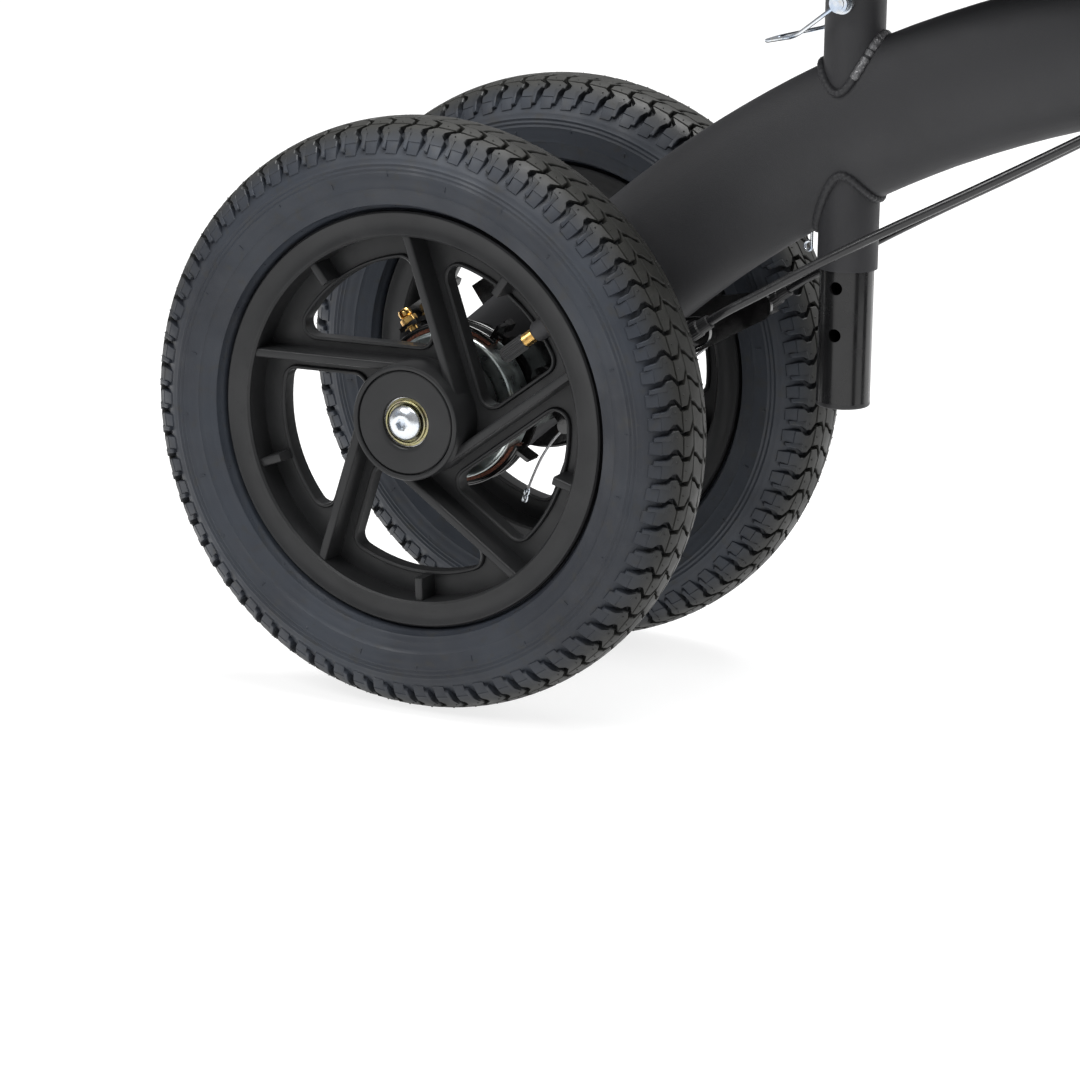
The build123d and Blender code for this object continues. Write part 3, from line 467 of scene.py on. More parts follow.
# ---------------------------------------------------------------- tyre
TYRE_RADIUS = half_size("rear_right_tyre").z / MM
TYRE_HALF = half_size("rear_right_tyre").y / MM
TREAD_PITCHES = 74
TREAD_DEPTH = 3.8


def tyre_line():
    """The outer profile from the crown to the bead: distances along it, radii and widths."""
    knots = [(TYRE_RADIUS, 0.0), (157.9, 9.8), (153.8, 18.6), (145.0, 25.6), (131.0, TYRE_HALF),
             (119.0, 25.6), (114.2, 20.6), (112.6, 15.2)]
    mirrored = (TYRE_RADIUS - 1.1, -9.8)
    line = smooth_path([(*mirrored, 0)] + [(*k, 0) for k in knots], 16)[16:]
    places = np.array([(p.x, p.y) for p in line])
    along = np.concatenate([[0.0], np.cumsum(np.linalg.norm(np.diff(places, axis=0), axis=1))])
    return along, places[:, 0], places[:, 1]


TYRE_S, TYRE_R, TYRE_W = tyre_line()


def tyre_point(turn, s, height=0.0):
    """A point on the tyre: turn in radians, s along the profile from the crown, height above it."""
    reach = abs(s)
    r, w = np.interp(reach, TYRE_S, TYRE_R), np.interp(reach, TYRE_S, TYRE_W)
    step = 0.6
    ahead, behind = min(reach + step, TYRE_S[-1]), max(reach - step, 0.0)
    dr = np.interp(ahead, TYRE_S, TYRE_R) - np.interp(behind, TYRE_S, TYRE_R)
    dw = np.interp(ahead, TYRE_S, TYRE_W) - np.interp(behind, TYRE_S, TYRE_W)
    size = math.hypot(dr, dw)
    r, w = r + height * dw / size, w - height * dr / size
    return (*polar(r, turn), math.copysign(w, s) if s else w)


def casing_height(s):
    """Relief of the casing under the tread and on the sidewall."""
    reach = abs(s)
    floor = -TREAD_DEPTH * clamped((36.0 - reach) / 12.0)
    radius = np.interp(reach, TYRE_S, TYRE_R)
    ridges = sum(0.55 * math.exp(-((radius - at) / 0.42) ** 2) for at in (133.0, 135.2, 137.4))
    line = 0.6 * math.exp(-((radius - 125.0) / 0.5) ** 2)
    bead = 0.9 * math.exp(-((radius - 116.5) / 1.0) ** 2)
    return floor + (ridges + line + bead if reach > 30 else 0.0)


def block(shape, turn, outline, low, high):
    """A raised block with bevelled edges, its top following the tyre's curve."""
    outline = [Vector(p) for p in outline]
    centre = sum(outline, Vector((0, 0))) / len(outline)
    rows = []
    for inset, height in ((-0.5, low), (0.0, high - 0.45), (0.5, high), (None, high)):
        row = []
        for corner in outline:
            out = (corner - centre).normalized()
            point = centre.lerp(corner, 0.5) if inset is None else corner - out * inset
            row.append(tyre_point(turn + point.x / TYRE_RADIUS, point.y, height))
        rows.append(row)
    points = [p for row in rows for p in row] + [tyre_point(turn + centre.x / TYRE_RADIUS, centre.y, high)]
    width = len(outline)
    faces = []
    for r in range(3):
        for c in range(width):
            after = (c + 1) % width
            faces.append([r * width + c, r * width + after, (r + 1) * width + after, (r + 1) * width + c])
    faces += [[3 * width + c, 3 * width + (c + 1) % width, 4 * width] for c in range(width)]
    faces.append(list(range(width))[::-1])
    shape.add(points, faces)


def lug(line, half):
    """Outline of a tread block: its two ends follow one zigzag of (shift, distance across)."""
    return [(u + half, across) for u, across in line] + [(u - half, across) for u, across in reversed(line)]


# Tread blocks of one pitch, as (distance round the tyre, distance across it) in millimetres.
CROWN_LUG = lug([(-3.4, -5.3), (-2.0, -2.2), (2.0, 2.2), (3.4, 5.3)], 5.55)
MIDDLE_LUG = lug([(3.8, 5.8), (-1.5, 9.0), (-1.5, 13.4)], 5.5)
SHOULDER_LUG = lug([(-1.3, 13.9), (2.9, 16.8), (2.9, 20.0), (0.4, 22.6), (0.4, 26.4)], 5.1)
SHOULDER_RIB = [(2.8, 20.7), (7.4, 19.9), (5.6, 23.2), (5.2, 30.4), (2.8, 30.8)]
SIDE_PAD = [(-5.0, 26.2), (3.0, 26.0), (2.8, 33.2), (-4.4, 33.6)]
VENT_NIBS = ((-1.0, 11.4), (4.4, 18.2))
TREAD_ROOT = -TREAD_DEPTH - 0.8
SIDE_SHIFT = 0.38 * TAU / TREAD_PITCHES           # how far the tread's outboard half is turned
MOULD_TICKS = 24


def tyre_mesh():
    """Casing, tread blocks, side pads, mould ticks and vent nibs of one tyre."""
    shape = Shape()
    reach = np.linspace(-TYRE_S[-1], TYRE_S[-1], 121)
    profile = [np.hypot(*tyre_point(0.0, s, casing_height(s))[:2]) for s in reach]
    widths = [tyre_point(0.0, s, casing_height(s))[2] for s in reach]
    bore = [(111.6, 14.6), (101.7, 14.6), (101.7, 11.8), (111.0, 13.2), (119.5, 21.0), (131.0, 24.5),
            (143.0, 21.6), (149.6, 13.5), (152.5, 0.0)]
    inside = bore + [(r, -w) for r, w in reversed(bore[:-1])]
    shape.lathe(list(zip(profile, widths)) + inside, 296)
    for i in range(TREAD_PITCHES):
        turn = TAU * i / TREAD_PITCHES
        block(shape, turn + SIDE_SHIFT / 2, CROWN_LUG, TREAD_ROOT, 0.0)
        for side in (1, -1):
            here = turn + (SIDE_SHIFT if side > 0 else 0.0)
            for outline, low, high in ((MIDDLE_LUG, TREAD_ROOT, 0.0), (SHOULDER_LUG, TREAD_ROOT, 0.0),
                                       (SHOULDER_RIB, -TREAD_DEPTH, 0.55), (SIDE_PAD, -TREAD_DEPTH, -0.3)):
                block(shape, here, [(u, side * s) for u, s in outline], low, high)
            for u, s in VENT_NIBS:
                nib = [(u + x, side * (s + y)) for x, y in (polar(0.5, a) for a in around(6))]
                block(shape, here, nib, -0.4, 0.55)
    for i in range(MOULD_TICKS):
        for at, size in ((44.0 + 3.5 * (i % 2), 0.45), (62.5, 0.4)):
            for side in (1, -1):
                near, far = side * (at - 1.6), side * (at + 1.6)
                outline = [(-size, near), (size, near), (size, far), (-size, far)]
                block(shape, TAU * (i + 0.3) / MOULD_TICKS, outline, -0.6, 0.45)
    return shape


# ---------------------------------------------------------------- rim
RIM_TOP = half_size("rear_right_rim").z / MM
SPOKES = 5
SPOKE_TURN = TAU / SPOKES
SPOKE_LEFT, SPOKE_RIGHT = 18.0, 37.0       # a spoke's two sides, from the wheel's centre
SPOKE_RIB_X = 28.0
WINDOW_RADIUS = 84.5
WINDOW_CORNER = 6.5
RIM_WALL = 98.0
HUB_RADIUS = 31.2
SPOKE_END_TURN = math.radians(20.8)               # where the first spoke's rib meets the rim wall
SPOKE_START = SPOKE_END_TURN - math.acos(SPOKE_RIB_X / RIM_WALL)
GUSSET_TURN = SPOKE_END_TURN + SPOKE_TURN / 2
WEB_HALF = 3.0
BORDER_WIDTH = 2.3
HUB_HOLE = 20.0
VALVE_TURN = math.radians(38.0)
VALVE_W = 7.5                                     # how far outboard of the rim's middle the valve sits


def arc(centre, radius, start, end, steps):
    """Points of an arc."""
    turns = (start + (end - start) * i / steps for i in range(steps + 1))
    return [(centre[0] + x, centre[1] + y) for x, y in (polar(radius, turn) for turn in turns)]


def window_outline(grow, number):
    """The rounded three-cornered gap between two spokes, grown outwards by so much."""
    f = WINDOW_CORNER
    left, right = SPOKE_LEFT - f, SPOKE_RIGHT + f
    inner = (left, (right - left * math.cos(SPOKE_TURN)) / math.sin(SPOKE_TURN))
    reach = WINDOW_RADIUS - f
    first = (left, math.sqrt(reach ** 2 - left ** 2))
    turn = math.atan2(math.sqrt(reach ** 2 - right ** 2), right) + SPOKE_TURN
    last = polar(reach, turn)
    first_turn = math.atan2(first[1], first[0])
    corner = f + grow
    line = arc(inner, corner, SPOKE_TURN + math.pi, TAU, 8)
    line += arc(first, corner, 0.0, first_turn, 7)
    line += arc((0, 0), WINDOW_RADIUS + grow, first_turn, turn, 20)[1:-1]
    line += arc(last, corner, turn, SPOKE_TURN + math.pi, 7)
    ahead, across = polar(1.0, SPOKE_START + number * SPOKE_TURN)
    return [(x * ahead - y * across, x * across + y * ahead) for x, y in line]


def web(shape):
    """The spoked plate with a raised, rounded border round every window."""
    outer = arc((0, 0), RIM_WALL + 1.0, 0.0, TAU, 120)[:-1]
    hub_hole = arc((0, 0), HUB_HOLE, 0.0, TAU, 40)[:-1]
    feet = [window_outline(BORDER_WIDTH, n) for n in range(SPOKES)]
    loops = [outer, hub_hole, *feet]
    flat = [Vector(p) for loop in loops for p in loop]
    edges, faces, start = [], [], 0
    for loop in loops:
        edges += [(start + i, start + (i + 1) % len(loop)) for i in range(len(loop))]
        faces.append(list(range(start, start + len(loop))))
        start += len(loop)
    made, _, triangles, _, _, origins = delaunay_2d_cdt(flat, edges, faces, 1, 1e-6)
    holes = set(range(1, len(loops)))
    kept = [t for t, where in zip(triangles, origins) if 0 in where and not holes & set(where)]
    for w in (WEB_HALF, -WEB_HALF):
        shape.add([(p.x, p.y, w) for p in made], kept)
    border = [(BORDER_WIDTH, WEB_HALF), (2.1, 4.4), (1.5, 5.0), (0.7, 5.0), (0.1, 4.4), (0.0, 3.4)]
    section = border + [(g, -w) for g, w in reversed(border)]
    for n in range(SPOKES):
        rows = [[(x, y, w) for x, y in window_outline(g, n)] for g, w in section]
        shape.grid(rows)
    for loop in (outer, hub_hole):
        shape.grid([[(x, y, w) for x, y in loop] for w in (WEB_HALF, -WEB_HALF)])


def rim_mesh():
    """Rim ring, spoked web, spoke ribs, gussets and hub, as one moulding."""
    shape = Shape()
    half = [(RIM_WALL, WEB_HALF), (RIM_WALL, 19.2), (RIM_WALL + 1.1, 20.3), (RIM_WALL + 2.2, 20.3),
            (RIM_WALL + 2.9, 19.9), (109.2, 19.9), (109.8, 20.3), (110.6, 20.3), (RIM_TOP, 19.4),
            (RIM_TOP, 15.4), (110.9, 14.8), (101.5, 14.8)]
    shape.lathe(half + [(r, -w) for r, w in reversed(half)], 200)
    web(shape)
    reach = math.sqrt((RIM_WALL + 0.6) ** 2 - SPOKE_RIB_X ** 2)
    rib = rounded([(-2.7, 0.0), (-2.35, 18.6), (2.35, 18.6), (2.7, 0.0), (2.4, -16.0), (-2.4, -16.0)], 1.5, 4)
    hub = HUB_RADIUS - 1.0
    for n in range(SPOKES):
        spin = Matrix.Rotation(SPOKE_START + n * SPOKE_TURN, 3, "Z")
        start = spin @ Vector((SPOKE_RIB_X, math.sqrt(hub ** 2 - SPOKE_RIB_X ** 2) - 6.0, 0))
        shape.bar(start, spin @ Vector((SPOKE_RIB_X, reach, 0)), rib, (0, 0, 1), steps=6)
        way = Vector((*polar(1.0, GUSSET_TURN + n * SPOKE_TURN), 0))
        gusset = rounded([(-2.7, 2.0), (-2.3, 17.0), (2.3, 17.0), (2.7, 2.0)], 1.2, 3)
        shape.bar(way * (WINDOW_RADIUS + 1.6), way * (RIM_WALL + 0.6), gusset, (0, 0, 1), steps=2)
    shape.lathe([(9.0, -11.0), (14.0, -11.0), (14.0, -22.0), (30.0, -22.0), (HUB_RADIUS, -20.8),
                 (HUB_RADIUS, 24.9), (30.7, 25.8), (30.0, 26.1), (29.0, 26.1), (28.4, 25.8), (28.1, 25.2),
                 (28.1, 23.1), (14.0, 23.1), (14.0, 15.0), (9.0, 15.0)], 120)
    return shape


def seal_mesh():
    """The disc that closes the hub, with softened edges and a shallow dish."""
    shape = Shape()
    shape.lathe([(13.5, 23.1), (27.4, 23.1), (27.6, 23.5), (27.6, 25.0), (27.0, 25.65), (25.6, 25.7),
                 (16.5, 25.5), (14.6, 25.4), (13.8, 25.0), (13.5, 24.4)], 120)
    return shape


def flutes(count, depth, size=1.0):
    """A ripple of flat-topped ribs round a turned piece."""
    return lambda turn: size + depth * clamped(2.5 * math.cos(count * turn), -1.0, 1.0)


def tube_mesh():
    """Inner tube with its valve: rubber foot, threaded brass stem and ribbed cap."""
    shape = Shape()
    shape.lathe([(129.5 + x, y) for x, y in (polar(20.2, a) for a in around(28))], 120)
    shape.place = facing((*polar(1.0, VALVE_TURN), 0), "X", (0, 0, VALVE_W))
    shape.lathe([(0.01, 112.0), (6.2, 111.0), (5.5, 104.0), (5.5, 88.5), (5.2, 86.2), (4.5, 84.9),
                 (3.4, 84.4), (0.01, 84.4)], 32)
    thread = [(3.55 + (0.1 if k % 2 else -0.08), 85.6 - 0.4 * k) for k in range(22)]
    shape.lathe([(0.01, 86.0), (3.2, 85.9), *thread, (3.2, 76.6), (0.01, 76.6)], 32, finish=1)
    shape.lathe([(0.01, 77.6), (3.9, 77.5), (4.2, 77.1), (4.3, 76.0), (4.3, 65.2), (4.1, 62.8), (3.2, 61.4),
                 (1.6, 60.9), (0.01, 60.9)], 144, finish=2, ripple=flutes(18, 0.05, 0.96))
    return shape


def bolt_mesh():
    """Domed axle bolt with a hexagon socket."""
    shape = Shape()
    dome = [(9.5 * math.cos(a), 25.4 + 4.6 * math.sin(a)) for a in np.linspace(0.0, 1.02, 9)]
    edge = max(dome[-1][1] - 0.1, 29.3)
    steps = 72
    rows = []
    for i in range(steps):
        angle = TAU * i / steps
        nearest = min(abs((angle - TAU * k / 6 + math.pi) % TAU - math.pi) for k in range(6))
        inner = 3.3 * math.cos(math.pi / 6) / math.cos(math.pi / 6 - nearest)
        line = [(0.01, 18.0), (5.0, 18.0), (5.0, 25.0), (9.2, 25.0), *dome, (inner + 0.5, edge + 0.2),
                (inner, edge), (inner, 26.6), (0.01, 26.2)]
        rows.append([(*polar(r, angle), w) for r, w in line])
    shape.grid(rows, wrap_rows=True)
    return shape


def washer_mesh():
    """A plated cup washer: a low face inside a thin rolled rim."""
    shape = Shape()
    rolled = arc((11.3, 24.7), 0.55, -0.6, 3.4, 9)
    shape.lathe([(5.2, 22.6), (12.9, 22.6), (13.1, 22.9), (12.9, 23.2), (11.9, 23.4), *rolled, (10.6, 23.7),
                 (10.0, 23.5), (5.2, 23.5)], 96)
    return shape


STANDS_FOR = {
    "rear_right_axle_bolt": ["rear_axle_bolts"],
    "rear_right_axle_washer": ["rear_axle_washers"],
    "front_right_axle_bolt": ["front_axle_bolts"],
}


def add_wheels():
    """Every wheel's pieces, from one set of meshes."""
    rubber, plastic, tube = FINISHES["tyre_rubber"], FINISHES["rim_plastic"], FINISHES["tube_rubber"]
    turning = {
        "tyre": (tyre_mesh().build("tyre", rubber, sharp=30), "tyre_rubber"),
        "rim": (rim_mesh().build("rim", plastic, sharp=34), "rim_plastic"),
        "hub_seal": (seal_mesh().build("hub_seal", plastic), "rim_plastic"),
        "inner_tube": (tube_mesh().build("inner_tube", tube, FINISHES["brass"], FINISHES["black_plastic"]),
                       "tube_rubber"),
    }
    fixed = {
        "bolt": (bolt_mesh().build("bolt", FINISHES["bright_zinc"]), "bright_zinc"),
        "washer": (washer_mesh().build("washer", FINISHES["yellow_zinc"]), "yellow_zinc"),
    }
    for wheel in WHEELS:
        place = wheel_matrix(wheel)
        for kind, (source, slot) in turning.items():
            piece = linked(f"{wheel}_{kind}_look", source.data)
            piece.matrix_world = place
            on_body(piece, f"{wheel}_wheel", [f"{wheel}_{kind}"])
        body = "frame" if wheel.startswith("rear") else "steering"
        for kind, (source, slot) in fixed.items():
            name = f"{wheel}_axle_{kind}"
            piece = linked(name, source.data)
            piece.matrix_world = place
            on_body(piece, body, STANDS_FOR.get(name, ()))
    for source, _ in [*turning.values(), *fixed.values()]:
        bpy.data.objects.remove(source)


# ---------------------------------------------------------------- frame details
AXLE = (middle("rear_right_tyre") + middle("rear_left_tyre")) / 2 / MM
FRONT = (middle("front_right_tyre") + middle("front_left_tyre")) / 2 / MM
POST_X = middle("seat_sleeve").x / MM
SLEEVE_RADIUS = half_size("seat_sleeve").y / MM
BEAM_HALF_HEIGHT = 38.0
BEAM_HALF_WIDTH = 19.0
BEAM_RADIUS = 619.7
BEAM_ARC = (AXLE.x + 494.2, AXLE.z - 387.9)      # centre of the beam's arc in the XZ plane
HEAD_RADIUS = half_size("head_tube").y / MM
CROSS_BEAM_RADIUS = 16.0
ANCHOR_TURN = math.radians(126.0)                 # the brake bands' anchor screws, round the axle
ANCHOR_Y = 52.0
STOP_WAY = Vector((math.cos(math.radians(35.5)), 0, math.sin(math.radians(35.5))))
WIRE_Y = 50.0


def stop_point(side):
    """Where a brake cable ends in its stop on the backplate."""
    return Vector((AXLE.x + 134.0, side * WIRE_Y, AXLE.z + 51.0))


def beam_middle(x):
    """Height and slope angle of the beam's middle line at x."""
    reach = BEAM_ARC[0] - x
    if reach <= 0:
        return BEAM_ARC[1] + BEAM_RADIUS, 0.0
    return BEAM_ARC[1] + math.sqrt(BEAM_RADIUS ** 2 - reach ** 2), math.asin(reach / BEAM_RADIUS)


def weld(name, path, material, size=2.7, closed=True, body="frame"):
    """A weld bead with the ripples of a stacked pass."""
    length = sum((Vector(a) - Vector(b)).length for a, b in zip(path, path[1:]))
    ripples = max(3, round(length / 3.2))
    steps = ripples * 6
    last = len(path) - 1
    marks = np.linspace(0, last, steps, endpoint=not closed)
    points = [Vector(path[int(m)]).lerp(Vector(path[min(int(m) + 1, last)]), m - int(m)) for m in marks]
    shape = Shape()
    shape.sweep(points, ring(size, 10, 0.8), (0.05, 0.02, 1.0), closed=closed,
                scale=lambda t: 0.9 + 0.13 * abs(math.sin(math.pi * ripples * t)) + 0.05 * math.sin(17 * t))
    piece = shape.build(name, material, sharp=60)
    return on_body(piece, body)


def sleeve_weld_path(over):
    """Where the seat sleeve meets the top (1) or the bottom (-1) of the beam."""
    path = []
    for turn in np.linspace(0, TAU, 97):
        x, y = polar(SLEEVE_RADIUS + 0.6, turn)
        x += POST_X
        z, slope = beam_middle(x)
        rise = BEAM_HALF_HEIGHT * math.sqrt(max(0.0, 1 - (y / BEAM_HALF_WIDTH) ** 2)) / math.cos(slope)
        path.append((x, y, z + over * (rise + 0.5)))
    return path


def head_weld_path():
    """Where the beam meets the head tube."""
    path = []
    for turn in np.linspace(0, TAU, 97):
        y = (BEAM_HALF_WIDTH + 0.6) * math.sin(turn)
        z = beam_middle(FRONT.x)[0] + (BEAM_HALF_HEIGHT + 0.6) * math.cos(turn)
        path.append((FRONT.x - math.sqrt(HEAD_RADIUS ** 2 - y * y) - 0.4, y, z))
    return path


def axle_weld_path(side):
    """Where the axle tube leaves the beam's flank."""
    slope = beam_middle(AXLE.x + 90.0)[1]
    path = []
    for turn in np.linspace(0, TAU, 73):
        x, z = polar(17.4, turn)
        across = -x * math.sin(slope) + z * math.cos(slope)
        y = BEAM_HALF_WIDTH * math.sqrt(max(0.0, 1 - (across / BEAM_HALF_HEIGHT) ** 2)) + 0.3
        path.append((AXLE.x + x, side * y, AXLE.z + z))
    return path


def column_weld_path():
    """Where the steerer column stands on the round front cross beam."""
    path = []
    for turn in np.linspace(0, TAU, 73):
        x, y = polar(half_size("steerer").y / MM + 0.4, turn)
        rise = math.sqrt(max(0.0, CROSS_BEAM_RADIUS ** 2 - min(abs(x), CROSS_BEAM_RADIUS) ** 2))
        path.append((FRONT.x + x, y, FRONT.z + rise + 0.4))
    return path


def add_welds():
    """All weld beads. The upper front side of the sleeve's top bead is bare."""
    paint = FINISHES["frame_paint"]
    weld("weld_sleeve_top", sleeve_weld_path(1), paint)
    weld("weld_sleeve_bottom", sleeve_weld_path(-1), paint)
    bare = [p for i, p in enumerate(sleeve_weld_path(1)) if i >= 78 or i <= 8]
    split = next(i for i, (a, b) in enumerate(zip(bare, bare[1:])) if (Vector(a) - Vector(b)).length > 8)
    weld("weld_sleeve_bare", bare[split + 1:] + bare[:split], FINISHES["weld_steel"], 2.95, closed=False)
    weld("weld_head", head_weld_path(), paint)
    for name, side in SIDES.items():
        weld(f"weld_axle_{name}", axle_weld_path(side), paint)
    weld("weld_column", column_weld_path(), paint, body="steering")


def hook_and_grommets():
    """The wire cable hook under the beam and the rubber grommets where the cables leave it."""
    shape = Shape()
    top = Vector((AXLE.x + 181.0, 0.0, AXLE.z + 104.0))
    path = [top + Vector((0, 0, 4)), top, top + Vector((0, 0, -6))]
    path += [top + Vector((2.3 * math.cos(a) - 2.3, 0.4 * a, -9 - 2.3 * math.sin(a)))
             for a in np.linspace(0, 5.4, 14)]
    shape.sweep(smooth_path(path, 5), ring(0.85, 12), (0, 1, 0.02))
    fit(shape, "cable_hook", "frame", "bright_zinc", ["cable_guides"])
    shape = Shape()
    for side in (1, -1):
        near = Vector((AXLE.x + 395.0, side * 10.0, AXLE.z + 203.0))
        far = Vector((AXLE.x + 318.0, side * 22.0, AXLE.z + 158.7))
        way = (near - far).normalized()
        shape.place = facing(way, "Y", near - way * 22.0)
        shape.lathe(rounded([(2.6, -9.0), (5.2, -8.0), (6.4, -4.0), (4.6, 0.0), (4.6, 6.0), (2.6, 6.0)],
                            0.8), 32)
    fit(shape, "cable_grommets", "frame", "grip_rubber")


def anchor_screw(shape):
    """An anchor screw: shank, hexagon head with its washer, and two half-round ears on top."""
    shape.lathe([(0.01, 44.6), (2.3, 44.6), (2.3, 53.6), (0.01, 53.6)], 24)
    hexagon = rounded([polar(4.9, TAU * k / 6) for k in range(6)], 0.6, 2)
    for foot, tall, share in ((49.6, 3.2, 1.0), (46.9, 0.9, 1.12)):
        levels = ((0.93, foot), (1.0, foot + 0.35), (1.0, foot + tall - 0.35), (0.93, foot + tall))
        shape.grid([[(x * share * t, y * share * t, w) for x, y in hexagon] for t, w in levels], caps=True)
    for turn in (0.0, math.pi):
        half_round = np.linspace(turn + 0.16, turn + math.pi - 0.16, 17)
        levels = ((0.8, 53.2), (1.0, 54.0), (1.0, 56.0), (0.82, 57.4), (0.4, 57.9))
        shape.grid([[(*polar(3.7 * t, a), w) for a in half_round] for t, w in levels], caps=True)


def barrel_adjuster(shape):
    """A threaded tube with a fluted barrel and a plain end for the cable."""
    thread = [(2.95 + (0.15 if k % 2 else -0.1), -8.0 + 0.45 * k) for k in range(20)]
    shape.lathe([(0.95, -8.0), *thread, (0.95, 0.9)], 28)
    shape.lathe([(2.7, 1.6), (4.2, 1.6), (4.6, 2.1), (4.6, 8.2), (4.2, 8.8), (3.8, 9.2), (3.7, 15.2),
                 (3.4, 15.5), (2.7, 15.5), (2.7, 9.0), (0.95, 9.0), (0.95, 1.6)], 160,
                ripple=flutes(20, 0.02))


def brake_fittings():
    """Anchor screws on the bands, black barrel adjusters at the cable stops and the bands' rolled edges."""
    screws, adjusters, lips = Shape(), Shape(), Shape()
    band = np.linspace(math.radians(56.0), math.radians(334.0), 73)
    for side in SIDES.values():
        anchor_way = (math.cos(ANCHOR_TURN), 0, math.sin(ANCHOR_TURN))
        screws.place = facing(anchor_way, "Y", (AXLE.x, side * ANCHOR_Y, AXLE.z))
        anchor_screw(screws)
        adjusters.place = facing(STOP_WAY, "Y", stop_point(side))
        barrel_adjuster(adjusters)
        for at in (46.9, 57.1):
            path = [(AXLE.x + x, side * at, AXLE.z + z) for x, z in (polar(43.3, a) for a in band)]
            lips.sweep(path, ring(1.5, 14), (0, 1, 0))
    fit(screws, "brake_anchor_screws", "frame", "brass", ["brake_adjusters"], sharp=30)
    fit(adjusters, "brake_barrel_adjusters", "frame", "black_plastic", sharp=30)
    fit(lips, "brake_band_lips", "frame", "brake_black")


def brake_wires():
    """The bare inner wire of each brake: it runs to the arm and ends in a crimped tail."""
    across = Vector((0, 1, 0))
    hang = ((60.5, -10.2), (56, -15.6), (50, -25), (44.6, -37), (41.4, -46), (40.2, -50.5))
    crimps = ((0, 0.6), (0.4, 1.3), (1.2, 1.6), (3.0, 1.6), (4.0, 1.15), (5.0, 1.6), (6.8, 1.6), (7.6, 1.3),
              (8.0, 0.9))
    for name, side in SIDES.items():
        stop = stop_point(side)
        pinch = Vector((AXLE.x + 65.0, side * WIRE_Y, AXLE.z - 5.4))
        tail = [Vector((AXLE.x + x, side * WIRE_Y, AXLE.z + z)) for x, z in hang]
        path = smooth_path([stop + STOP_WAY * 8.9, stop, stop - STOP_WAY * 16, stop.lerp(pinch, 0.6),
                            pinch, *tail], 8)
        shape = Shape()
        shape.sweep(path, ring(0.75, 12), (0, 1, 0.01))
        end = path[-1]
        back = (path[-9] - end).normalized()
        over = back.cross(across)
        shape.grid([[tuple(end + back * t + across * a * size + over * b * size) for a, b in ring(1.0, 14)]
                    for t, size in crimps], caps=True, finish=1)
        piece = shape.build(f"brake_wire_{name}", FINISHES["wire_steel"], FINISHES["bright_zinc"])
        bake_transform(piece)
        if name == "right":
            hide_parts("brake_wires")


# ---------------------------------------------------------------- knee pad
PAD_CORNER = 38.0
CHANNEL_DEPTH = 0.0085                            # metres, like the other sizes of the simulated cover
CHANNEL_HALF = 0.0055
MOST_SWELL = 0.008


def rounded_rectangle(half_x, half_y, corner, steps=10):
    """Outline of a rounded rectangle round its middle."""
    line = []
    for k, (sx, sy) in enumerate(((1, 1), (-1, 1), (-1, -1), (1, -1))):
        centre = (sx * (half_x - corner), sy * (half_y - corner))
        line += arc(centre, corner, k * TAU / 4, (k + 1) * TAU / 4, steps)
    return line


def knee_pad():
    """The foam pad under its vinyl cover: inflated by a cloth simulation, then grooved and piped."""
    low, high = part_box("knee_pad")
    centre, half = middle("knee_pad") / MM, half_size("knee_pad") / MM
    tall = 2 * half.z
    shape = Shape()
    rows = []
    for inset, z in ((22, 1.0), (12, 1.2), (7.5, 3.0), (6.0, 9.0), (6.0, 24.0), (6.5, tall - 19.0),
                     (9.0, tall - 12.5), (15.0, tall - 8.0), (26.0, tall - 6.0), (42.0, tall - 5.6),
                     (60.0, tall - 5.5)):
        outline = rounded_rectangle(half.x - inset, half.y - inset, max(8.0, PAD_CORNER - inset * 0.7))
        rows.append([(centre.x + x, centre.y + y, low.z / MM + z) for x, y in outline])
    shape.grid(rows, caps=True)
    pad = shape.build("knee_pad_cover", FINISHES["pad_cover"], sharp=180)
    inflate(pad)
    press_channel(pad, low, high)
    on_body(pad, "knee_rest", ["knee_pad"])
    piping(pad, low, high)


def inflate(pad):
    """Blow the cover up a little with cloth pressure, and keep what it does to the mesh."""
    remesh = pad.modifiers.new("Remesh", "REMESH")
    remesh.mode = "VOXEL"
    remesh.voxel_size = 0.006
    remesh.use_smooth_shade = True
    apply_modifiers(pad)
    rest = np.array([v.co for v in pad.data.vertices], float)
    cloth = pad.modifiers.new("Cloth", "CLOTH")
    for setting, value in (("quality", 5), ("mass", 0.3), ("tension_stiffness", 25), ("bending_stiffness", 2),
                           ("use_pressure", True), ("uniform_pressure_force", 4.0)):
        setattr(cloth.settings, setting, value)
    cloth.settings.effector_weights.gravity = 0.0
    scene = bpy.context.scene
    for number in range(1, 21):
        scene.frame_set(number)
    apply_modifiers(pad)
    scene.frame_set(1)
    step = np.array([v.co for v in pad.data.vertices], float) - rest
    size = np.linalg.norm(step, axis=1)
    step *= np.minimum(1.0, MOST_SWELL / np.maximum(size, 1e-9))[:, None]
    pad.data.vertices.foreach_set("co", (rest + step).astype(np.float32).ravel())
    smooth = pad.modifiers.new("Smooth", "SMOOTH")
    smooth.factor = 0.5
    smooth.iterations = 4
    subdivision = pad.modifiers.new("Subdivision", "SUBSURF")
    subdivision.levels = subdivision.render_levels = 1
    apply_modifiers(pad)
    for face in pad.data.polygons:
        face.use_smooth = True


def apply_modifiers(piece):
    """Replace a piece's mesh by what its modifiers make of it."""
    graph = bpy.context.evaluated_depsgraph_get()
    made = bpy.data.meshes.new_from_object(piece.evaluated_get(graph), depsgraph=graph)
    old = piece.data
    piece.modifiers.clear()
    piece.data = made
    bpy.data.meshes.remove(old)


